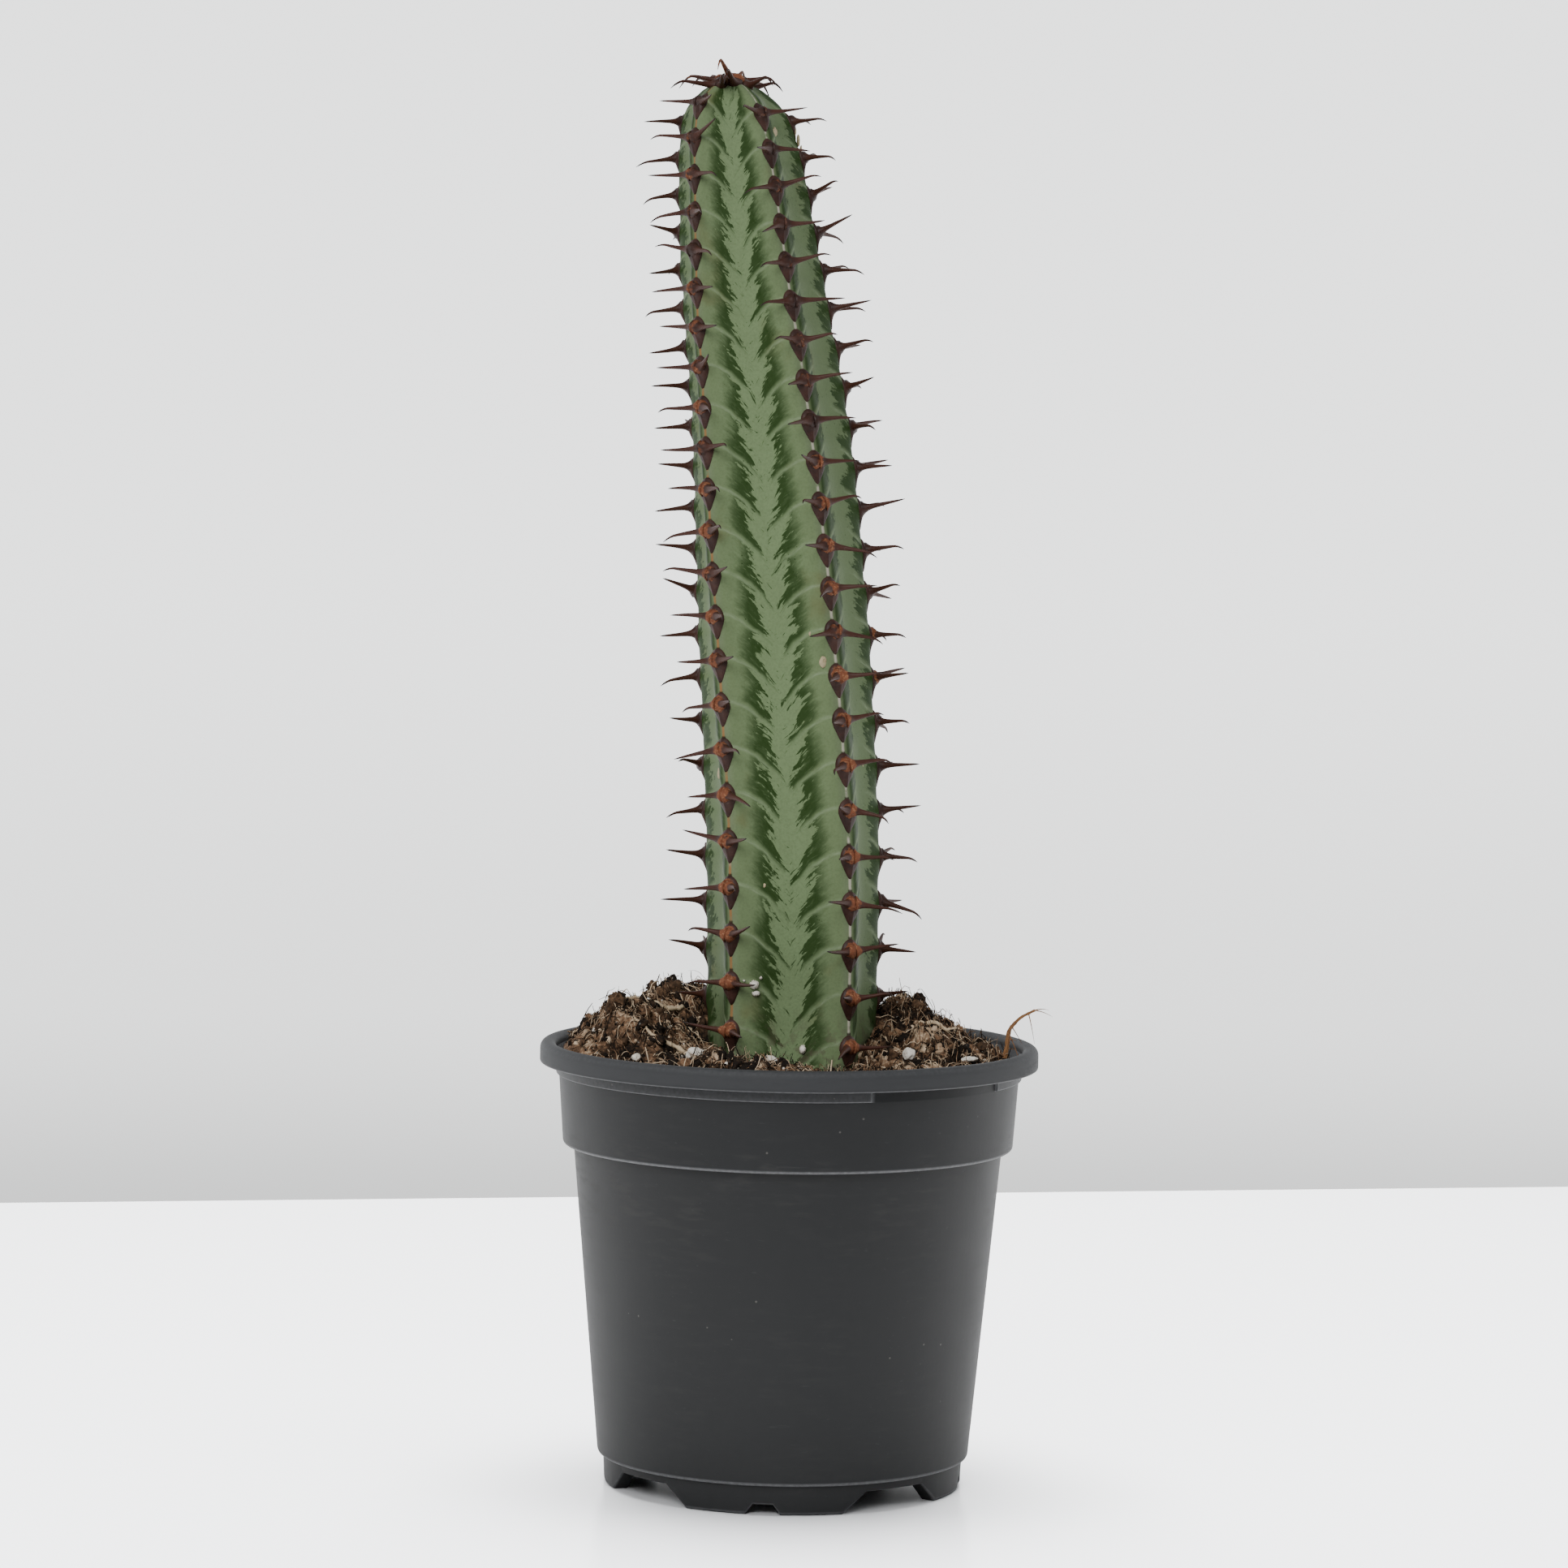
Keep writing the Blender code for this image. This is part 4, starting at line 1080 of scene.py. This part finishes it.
def peat_paint(name, settings, crumbly):
    paint = Paint(name, Specular_IOR_Level=0.2)
    lumps, fine = paint.grain(0.0046, 5, roughness=0.65), paint.grain(0.0011, 4)
    region = (paint.grain(0.020, 3) - 0.5) * 0.5
    # The tint value is each crumb's and fibre's own tone; on the bed it is painted shade, darker in
    # the hollows and lighter on the lumps.
    tone = lumps * 0.45 + fine * 0.55 + region + paint.value("tint") * 0.16
    if crumbly:
        tone = paint.value("tint") * 0.8 + (fine - 0.5) * 0.4 + region * 0.7
    base = paint.ramp(tone, (0.36, settings.dark),
                      (0.50, shade(settings.brown, 0.50)),
                      (0.60, shade(settings.brown, 1.25)),
                      (0.82, settings.straw))
    base = paint.mix(base, (0.42, 0.40, 0.36), paint.spots(0.0034, 0.13) * 0.55)
    return paint.finish(base, 0.86, fine * 0.6 + lumps * 0.4, 0.0005, 0.9)


def scatter(luck, number, margin=0.0006):
    """Random spots on the peat, clear of the stem and the wall."""
    azimuth = luck.uniform(0, 360, number)
    radius = np.sqrt(luck.uniform(SCATTER_CORE**2, (PEAT_RADIUS - margin) ** 2, number))
    return towards(azimuth, radius)[:, :2]


def settled(spots, sizes, room, lift):
    """Centres and sizes of the grains that lie clear of the stem and the wall."""
    heights = peat_height(*spots.T)
    keep = keep_clear(spots, heights, room * sizes)
    keep &= np.hypot(*spots.T) < PEAT_RADIUS - sizes
    return np.column_stack([spots, heights + lift * sizes])[keep], sizes[keep]


def grains(luck, centres, sizes, stretch, rows, columns, push):
    """Small balls, each stretched at random and with its points pushed in and out."""
    grids = balls(centres, sizes[:, None] * luck.uniform(*stretch, (len(sizes), 3)), rows, columns)
    pushed = 1 + luck.uniform(-push, push, grids.shape[:3])[..., None]
    middles = centres[:, None, None]
    return middles + (grids - middles) * pushed


def keep_clear(spots, heights, room):
    """Which spots lie outside the stem."""
    inside = np.zeros(len(spots), bool)
    centre = along(LEAN, heights)
    azimuth = np.degrees(np.arctan2(spots[:, 0] - centre, -spots[:, 1]))
    distance = np.hypot(spots[:, 0] - centre, spots[:, 1])
    for rib in range(RIB_COUNT):
        start, end = rib_azimuth(rib, heights), rib_azimuth((rib + 1) % RIB_COUNT, heights)
        span = (end - start) % 360
        turned = (azimuth - start) % 360
        here = turned < span
        half = np.radians(span / 2)
        crest = STEM_RADIUS * along(GIRTH, heights) + CREST_ROUND
        flat = crest * np.cos(half) / np.cos(np.radians(turned) - half)
        bow = FACE_HOLLOW * np.sin(math.pi * turned / span) ** 2
        inside |= here & (distance < flat - bow + room)
    return ~inside


class EUPHORBIA_OT_peat(Operator):
    """Fill the pot with peat, crumbs and fibres"""
    bl_idname = "euphorbia.peat"
    bl_label = "Peat"

    def execute(self, context):
        settings = context.scene.euphorbia_peat
        luck = np.random.default_rng(7)
        self.bed(settings)
        crumb_paint = peat_paint("peat_crumbs", settings, True)
        self.crumbs(settings, luck, crumb_paint)
        self.clods(luck, crumb_paint)
        self.fibres(settings, luck, crumb_paint)
        return {"FINISHED"}

    def bed(self, settings):
        azimuths = np.arange(PEAT_COLUMNS) * 360 / PEAT_COLUMNS
        radii = np.linspace(PEAT_RADIUS, PEAT_CORE, PEAT_ROWS)
        top = towards(azimuths[None], radii[:, None])
        top[..., 2] = peat_height(top[..., 0], top[..., 1])
        rim = np.stack([top[0, :, 0], top[0, :, 1], top[0, :, 2] - PEAT_RIM_DEPTH],
                       -1)
        floor = towards(azimuths, PEAT_RADIUS - PEAT_TAPER, PEAT_BOTTOM)
        core = towards(azimuths, PEAT_CORE, PEAT_BOTTOM)
        bed = Bundle(cells=(1, 1))
        # Tint from how far each point stands above the smooth peat: painted shade in the hollows
        # and painted light on the lumps.
        smooth = peat_height(top[..., 0], top[..., 1], 0.0)
        proud = np.clip((top[..., 2] - smooth) / 0.0020, -1.5, 1.5)
        bed.add(np.concatenate([core[None], floor[None], rim[None], top]),
                tint=np.concatenate([np.zeros((3, PEAT_COLUMNS)), proud])[None])
        bed.put("peat_bed", peat_paint("damp_peat", settings, False), "peat", "potting_soil")

    def crumbs(self, settings, luck, paint):
        spots = scatter(luck, settings.crumbs)
        sizes = np.clip(luck.lognormal(-7.55, 0.50, len(spots)), 0.00020, 0.0014)
        centres, sizes = settled(spots, sizes, 0.3, 0.25)
        grids = grains(luck, centres, sizes, (0.6, 1.15), 5, 7, 0.38)
        loose = Bundle()
        tint = np.clip(luck.normal(0.47, 0.23, len(sizes)), 0.1, 1.0)
        tint[luck.uniform(size=len(tint)) < 0.05] = 1.15
        loose.add(grids, tint=tint[:, None, None])
        loose.put("peat_crumbs", paint, "peat")

    def clods(self, luck, paint):
        """Bigger rough lumps, most of them on the heaps."""
        spots = list(scatter(luck, CLODS_APART, 0.004))
        for azimuth, share, _, spread in PEAT_HEAPS:
            middle = spot(azimuth, share)
            spots += [middle + luck.normal(0, spread * 0.75, 2) for _ in range(CLODS_PER_HEAP)]
        spots = np.array(spots)
        sizes = luck.uniform(0.0009, 0.0024, len(spots))
        loose = Bundle()
        for middle, size in zip(*settled(spots, sizes, 1.0, 0.15)):
            halves = size * luck.uniform(0.6, 1.1, (1, 3))
            grid = balls(middle[None], halves, 16, 22)
            pushed = 1 + 0.62 * rough(grid, size * 0.7, 4, luck.uniform(0, 90))
            grid = middle + (grid - middle) * pushed[..., None]
            loose.add(grid, tint=luck.normal(0.50, 0.16))
        loose.put("peat_clods", paint, "peat")

    def fibres(self, settings, luck, paint):
        spots = [scatter(luck, settings.fibres * 3 // 4, 0.002)]
        for azimuth, share, _, spread in PEAT_HEAPS:
            tufts = settings.fibres // 4 // len(PEAT_HEAPS)
            spots.append(spot(azimuth, share) + luck.normal(0, spread * 0.8, (tufts, 2)))
        spots = np.concatenate(spots)
        spots *= np.minimum(1.0, FIBRE_RADIUS / np.hypot(*spots.T))[:, None]
        number = len(spots)
        heading = luck.uniform(0, 2 * math.pi, number)
        reach = np.clip(luck.lognormal(-5.85, 0.6, number), 0.0010, 0.0110)
        turn = luck.normal(0, 1.3, number)
        t = np.linspace(0, 1, FIBRE_POINTS)
        angle = heading[:, None] + turn[:, None] * t
        steps = reach[:, None] / (FIBRE_POINTS - 1)
        x = spots[:, :1] + np.cumsum(np.cos(angle) * steps, 1)
        y = spots[:, 1:] + np.cumsum(np.sin(angle) * steps, 1)
        radial = np.hypot(x, y)
        inward = np.minimum(1.0, (PEAT_RADIUS - 0.0010) / radial)
        x, y = x * inward, y * inward
        lift = luck.uniform(0.0001, 0.0010, (number, 1)) * (1 + np.sin(t * math.pi))
        stray = luck.uniform(size=(number, 1)) < np.linspace(0.04, 0.45, number)[:, None] ** 1.5
        lift = lift + stray * luck.uniform(0.001, 0.005, (number, 1)) * t**1.5
        z = peat_height(x, y) + lift + luck.normal(0, 0.00012, x.shape)
        clear = np.ones(number, bool)
        for k in (0, FIBRE_POINTS // 2, FIBRE_POINTS - 1):
            clear &= keep_clear(np.stack([x[:, k], y[:, k]], -1), z[:, k], 0.0)
        paths = np.stack([x, y, z], -1)[clear]
        width = np.clip(luck.lognormal(-9.1, 0.35, (len(paths), 1)), 0.00006, 0.00026)
        radii = width * (0.35 + 0.65 * np.sin(math.pi * (0.15 + 0.7 * t)))
        tint = np.clip(luck.normal(0.60, 0.34, len(paths)), 0.10, 1.25)
        loose = Bundle()
        loose.add(tubes(paths, radii, 3), tint=tint[:, None, None])
        loose.put("peat_fibres", paint, "peat")


# White grains stuck to the stem, as (rib, share, height).
DUST_GRAINS = 110
STUCK_GRAINS = ((0, 0.219, 0.1424), (0, 0.60, 0.1245), (2, 0.4, 0.1360), (0, 0.232, 0.1399),
                (3, 0.6, 0.1330), (0, 0.270, 0.1443), (0, 0.14, 0.1435))

ROOT_RADIUS = 0.00070
ROOT_LIFT = 0.0018
ROOT_POINTS = 30
ROOTLETS = 7
ROOTLET_RADIUS = 0.00016
ROOTLET_LIFT = 0.0004

# The twig's bends as (aside, up), and its hairs as (point, length, slope).
TWIG_RADIUS = 0.0007
TWIG_POINTS = 28
HAIR_RADIUS = 0.00015
TWIG_KNOTS = ((0.0, 0.0), (0.0006, 0.0040), (0.0010, 0.0085), (0.0042, 0.0120), (0.0082, 0.0140))
TWIG_HAIRS = ((27, 0.0050, -0.10), (27, 0.0040, 0.35), (20, 0.0036, 0.6), (15, 0.0052, -0.9),
              (24, 0.0072, -1.3), (9, 0.0024, 0.3), (12, 0.0085, -1.1), (5, 0.0030, 0.1))


def stone_paint(name, light, dark, size):
    paint = Paint(name, Specular_IOR_Level=0.3)
    clouds, pits = paint.grain(size, 4), paint.spots(size * 0.45, 0.30)
    base = paint.mix(light, dark, (clouds.rise(0.45, 0.75) * 0.7 + pits * 0.5).clamped())
    return paint.finish(base, 0.82, clouds * 0.5 - pits * 0.7, size * 0.12, 0.8)


def pebble(node, rows, bumps, seed):
    """A rough grain of the size and place of its CAD node."""
    low, high = (np.array(corner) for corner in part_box(node))
    centre, half = (low + high) / 2, (high - low) / 2
    grid = balls(centre[None], half[None], rows, rows * 2)
    away = grid - centre
    size = float(half.mean())
    knobs = bumps * rough(grid, size * 0.9, 3, seed) + 0.12 * rough(grid, size * 0.3, 2, seed)
    return centre + away * (1.02 + knobs)[..., None]


def evened(knots, points, rounds):
    """Two coordinates along some knots, with the corners evened out, and the share along."""
    knots = np.asarray(knots)
    t = np.linspace(0, len(knots) - 1, points)
    runs = [np.interp(t, range(len(knots)), knots[:, axis]) for axis in (0, 1)]
    for run in runs * rounds:
        run[1:-1] = (run[:-2] + 2 * run[1:-1] + run[2:]) / 4
    return (*runs, t / t[-1])


class EUPHORBIA_OT_litter(Operator):
    """Lay perlite, bark, roots and a twig on the peat"""
    bl_idname = "euphorbia.litter"
    bl_label = "Loose Pieces"

    def execute(self, context):
        luck = np.random.default_rng(23)
        perlite = stone_paint("perlite", (0.90, 0.85, 0.76), (0.50, 0.42, 0.33), 0.0016)
        bark = stone_paint("bark", (0.24, 0.120, 0.055), (0.085, 0.045, 0.024), 0.0022)
        for node, name, number, rows, bumps, seed, paint, slot in (
                ("perlite", "perlite_grain", 6, 20, 0.28, 2.3, perlite, "perlite"),
                ("bark_chip", "bark_flake", 3, 22, 0.34, 3.1, bark, "bark")):
            for k in range(1, number + 1):
                lump = Bundle(cells=(1, 1))
                lump.add(pebble(f"{node}_{k}", rows, bumps, seed * k))
                lump.put(f"{name}_{k}", paint, slot, f"{node}_{k}")
        self.dust(luck, perlite)
        paint = stone_paint("dry_root", (0.66, 0.52, 0.35), (0.30, 0.19, 0.10), 0.0012)
        for k, run in enumerate(ROOTS, 1):
            self.root(k, run, luck, paint)
        self.twig(luck)
        return {"FINISHED"}

    def dust(self, luck, paint):
        """Small white grains on the peat, and a few stuck to the stem."""
        spots = scatter(luck, DUST_GRAINS)
        sizes = np.clip(luck.lognormal(-7.75, 0.45, len(spots)), 0.00025, 0.0011)
        centres, sizes = settled(spots, sizes, 1.0, 0.4)
        stuck = [surface(rib, share, height, 0.0003) for rib, share, height in STUCK_GRAINS]
        centres = np.concatenate([centres, stuck])
        sizes = np.concatenate([sizes, np.linspace(0.0014, 0.0004, len(stuck))])
        loose = Bundle()
        loose.add(grains(luck, centres, sizes, (0.7, 1.1), 8, 12, 0.22))
        loose.put("perlite_dust", paint, "perlite")

    def root(self, k, run, luck, paint):
        x, y, t = evened([spot(*knot) for knot in run], ROOT_POINTS, 3)
        wander = 0.0005 * rough(np.stack([x, y, 0 * x], -1), 0.004, 2, 5.0 * k)
        z = peat_height(x, y, 0.35) + ROOT_LIFT + wander
        path = np.stack([x, y, z], -1)
        radii = ROOT_RADIUS * (1 - 0.55 * t) * (1 + 0.25 * luck.uniform(-1, 1, ROOT_POINTS))
        strand = Bundle()
        strand.add(tubes(path[None], radii[None], 8))
        for start in luck.integers(3, 26, ROOTLETS):
            heading = luck.uniform(0, 2 * math.pi)
            s = np.linspace(0, 1, 7)
            reach = luck.uniform(0.002, 0.006)
            bx = x[start] + reach * s * np.cos(heading + 0.9 * s)
            by = y[start] + reach * s * np.sin(heading + 0.9 * s)
            above = z[start] - peat_height(x[start], y[start], 0.6) - ROOTLET_LIFT
            bz = peat_height(bx, by, 0.6) + ROOTLET_LIFT + above * (1 - s)
            side = np.stack([bx, by, bz], -1)
            strand.add(tubes(side[None], (ROOTLET_RADIUS * (1.15 - s))[None], 5))
        strand.put(f"root_strand_{k}", paint, "root", f"bare_root_{k}")

    def twig(self, luck):
        low, high = (np.array(corner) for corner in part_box("dry_twig"))
        foot = np.array((low[0] + TWIG_RADIUS, (low[1] + high[1]) / 2, low[2]))
        x, z, t = evened(TWIG_KNOTS, TWIG_POINTS, 4)
        path = foot + np.stack([x, 0 * x, z], -1)
        radii = TWIG_RADIUS * (1.1 - 0.6 * t) * (1 + 0.16 * luck.uniform(-1, 1, TWIG_POINTS))
        stick = Bundle()
        stick.add(tubes(path[None], radii[None], 10))
        for side in (-1, 1):
            far = (len(TWIG_KNOTS) - 1) * t
            wave = rough(np.stack([far, 0 * t, 0 * t + side], -1), 3.0, 2, 9.0)[:, None]
            strand = path + (0, side * 0.00055, 0) + 0.0004 * wave * (1, 0, 0)
            end = 20 + 3 * side
            stick.add(tubes(strand[:end][None], 0.45 * radii[:end][None], 7))
        for start, reach, drop in TWIG_HAIRS:
            s = np.linspace(0, 1, 8)
            out = luck.normal(0, 0.5)
            hair = path[start] + reach * np.stack([s * math.cos(drop), out * s**2,
                                                   s * math.sin(drop) - 0.25 * s**2], -1)
            stick.add(tubes(hair[None], (HAIR_RADIUS * (1.2 - s))[None], 5))
        bark = stone_paint("twig_bark", (0.30, 0.145, 0.060), (0.110, 0.052, 0.026), 0.0012)
        stick.put("twig_frayed", bark, "root", "dry_twig")


# ---------------------------------------------------------------- stage

CAMERA_PLACE = (-0.0028, -1.475, 0.2924)
CAMERA_PITCH = math.radians(3.70)
CAMERA_ROLL = math.radians(1.0)
CAMERA_LENS = 121.12
LAMPS = (("left_box", (-1.35, 0.45, 0.45), (0.8, 1.3), 5),
         ("right_box", (1.35, 0.40, 0.45), (0.8, 1.3), 6),
         ("front_box", (-0.5, -1.7, 1.3), (1.4, 1.0), 34))
FLOOR_HALF_WIDTH = 4.0
FLOOR_EDGE = 0.566
FLOOR_SLANT = 0.195


def floor_paint(settings):
    """Pale where the camera looks; greyer in the light that it throws back on the pot."""
    paint = Paint("pale_floor", Roughness=0.20, Specular_IOR_Level=0.4)
    clouds = paint.grain(0.25, 2)
    pale = paint.mix(settings.floor, shade(settings.floor, 0.985), clouds)
    seen = paint.node("ShaderNodeLightPath", output="Is Camera Ray")
    y, = paint.axes("Y")
    thrown = paint.mix((0.05, 0.05, 0.05), (0.30, 0.30, 0.30), y.rise(-0.45, -0.06))
    paint.set("Base Color", paint.mix(thrown, pale, seen))
    return paint.material


def make_world(settings):
    """Pale wall where the camera looks, and everywhere else soft light, brightest from behind and
    low down.
    """
    world = bpy.data.worlds.new("studio")
    bpy.context.scene.world = world
    sky = Shading(world, "Generated")
    y, z = sky.axes("YZ")
    # The wall darkens towards the floor line: painted shade.
    bright = 1.45 + z.rise(-0.150, -0.105) * 0.95 + z.rise(-0.12, -0.02) * 0.65
    wall = sky.node("ShaderNodeBackground", None, {"Color": settings.wall, "Strength": bright})
    soft = settings.light * (0.30 + y.rise(0.25, 0.98) * z.fall(0.15, 0.75) * 2.0)
    light = sky.node("ShaderNodeBackground", None, {"Color": (0.97, 0.985, 1.0),
                                                    "Strength": soft})
    seen = sky.node("ShaderNodeLightPath", output="Is Camera Ray")
    pick = sky.node("ShaderNodeMixShader", None, {0: seen, 1: light, 2: wall})
    sky.tree.nodes.remove(sky.tree.nodes["Background"])
    sky.plug(sky.tree.nodes["World Output"].inputs["Surface"], pick)


def lamp(name, where, size, power, aim=(0.0, 0.0, 0.2)):
    """A soft box that faces its aim."""
    data = bpy.data.lights.new(name, "AREA")
    data.shape = "RECTANGLE"
    data.size, data.size_y = size
    data.energy = power
    made = linked(name, data)
    made.location = where
    made.rotation_euler = (Vector(aim) - Vector(where)).to_track_quat("-Z", "Y").to_euler()
    return made


class EUPHORBIA_OT_stage(Operator):
    """Set up the pale floor, the studio light and the camera"""
    bl_idname = "euphorbia.stage"
    bl_label = "Stage"

    def execute(self, context):
        settings = context.scene.euphorbia_stage
        mesh = bpy.data.meshes.new("floor")
        half = FLOOR_HALF_WIDTH
        corners = [(-half, -half, 0.0), (half, -half, 0.0),
                   (half, FLOOR_EDGE + half * FLOOR_SLANT, 0.0),
                   (-half, FLOOR_EDGE - half * FLOOR_SLANT, 0.0)]
        mesh.from_pydata(corners, [], [(0, 1, 2, 3)])
        floor = linked("floor", mesh)
        mesh.materials.append(floor_paint(settings))
        make_world(settings)
        power = settings.light
        for name, where, size, watts in LAMPS:
            lamp(name, where, size, watts * power)
        above = lamp("floor_box", (0.0, 0.25, 2.0), (1.4, 1.4), 255 * power, aim=(0.0, 0.1, 0.0))
        lit = bpy.data.collections.new("floor_only")
        lit.objects.link(floor)
        above.light_linking.receiver_collection = lit
        self.camera(context)
        return {"FINISHED"}

    def camera(self, context):
        data = bpy.data.cameras.new("camera")
        data.lens, data.sensor_width = CAMERA_LENS, 36.0
        data.clip_start, data.clip_end = 0.05, 20.0
        camera = linked("camera", data)
        ahead = Vector((0.0, math.cos(CAMERA_PITCH), -math.sin(CAMERA_PITCH)))
        level_up = Vector((0.0, math.sin(CAMERA_PITCH), math.cos(CAMERA_PITCH)))
        level_right = Vector((1.0, 0.0, 0.0))
        right = level_right * math.cos(CAMERA_ROLL) + level_up * math.sin(CAMERA_ROLL)
        up = level_up * math.cos(CAMERA_ROLL) - level_right * math.sin(CAMERA_ROLL)
        turned = Matrix((right, up, -ahead)).transposed().to_4x4()
        camera.matrix_world = Matrix.Translation(CAMERA_PLACE) @ turned
        context.scene.camera = camera


# ---------------------------------------------------------------- add-on

OPERATORS = (EUPHORBIA_OT_stage, EUPHORBIA_OT_pot, EUPHORBIA_OT_stem, EUPHORBIA_OT_spines,
             EUPHORBIA_OT_peat, EUPHORBIA_OT_litter)
SETTINGS = {"euphorbia_pot": PotSettings, "euphorbia_stem": StemSettings,
            "euphorbia_spines": SpineSettings, "euphorbia_peat": PeatSettings,
            "euphorbia_stage": StageSettings}


class EUPHORBIA_PT_panel(Panel):
    """Sizes, colours and buttons for each piece"""
    bl_idname = "EUPHORBIA_PT_panel"
    bl_label = "Potted Euphorbia"
    bl_space_type = "VIEW_3D"
    bl_region_type = "UI"
    bl_category = "Euphorbia"

    def draw(self, context):
        for name, kind in SETTINGS.items():
            box = self.layout.box()
            for prop in kind.__annotations__:
                box.prop(getattr(context.scene, name), prop)
        for made in OPERATORS:
            self.layout.operator(made.bl_idname)


def register():
    for name, kind in SETTINGS.items():
        bpy.utils.register_class(kind)
        setattr(bpy.types.Scene, name, PointerProperty(type=kind))
    for kind in (*OPERATORS, EUPHORBIA_PT_panel):
        bpy.utils.register_class(kind)


def unregister():
    for kind in (EUPHORBIA_PT_panel, *reversed(OPERATORS)):
        bpy.utils.unregister_class(kind)
    for name, kind in reversed(SETTINGS.items()):
        delattr(bpy.types.Scene, name)
        bpy.utils.unregister_class(kind)


def main():
    register()
    bpy.ops.euphorbia.stage()
    bpy.ops.euphorbia.pot()
    bpy.ops.euphorbia.stem()
    bpy.ops.euphorbia.spines()
    bpy.ops.euphorbia.peat()
    bpy.ops.euphorbia.litter()


if __name__ == "__main__":
    main()
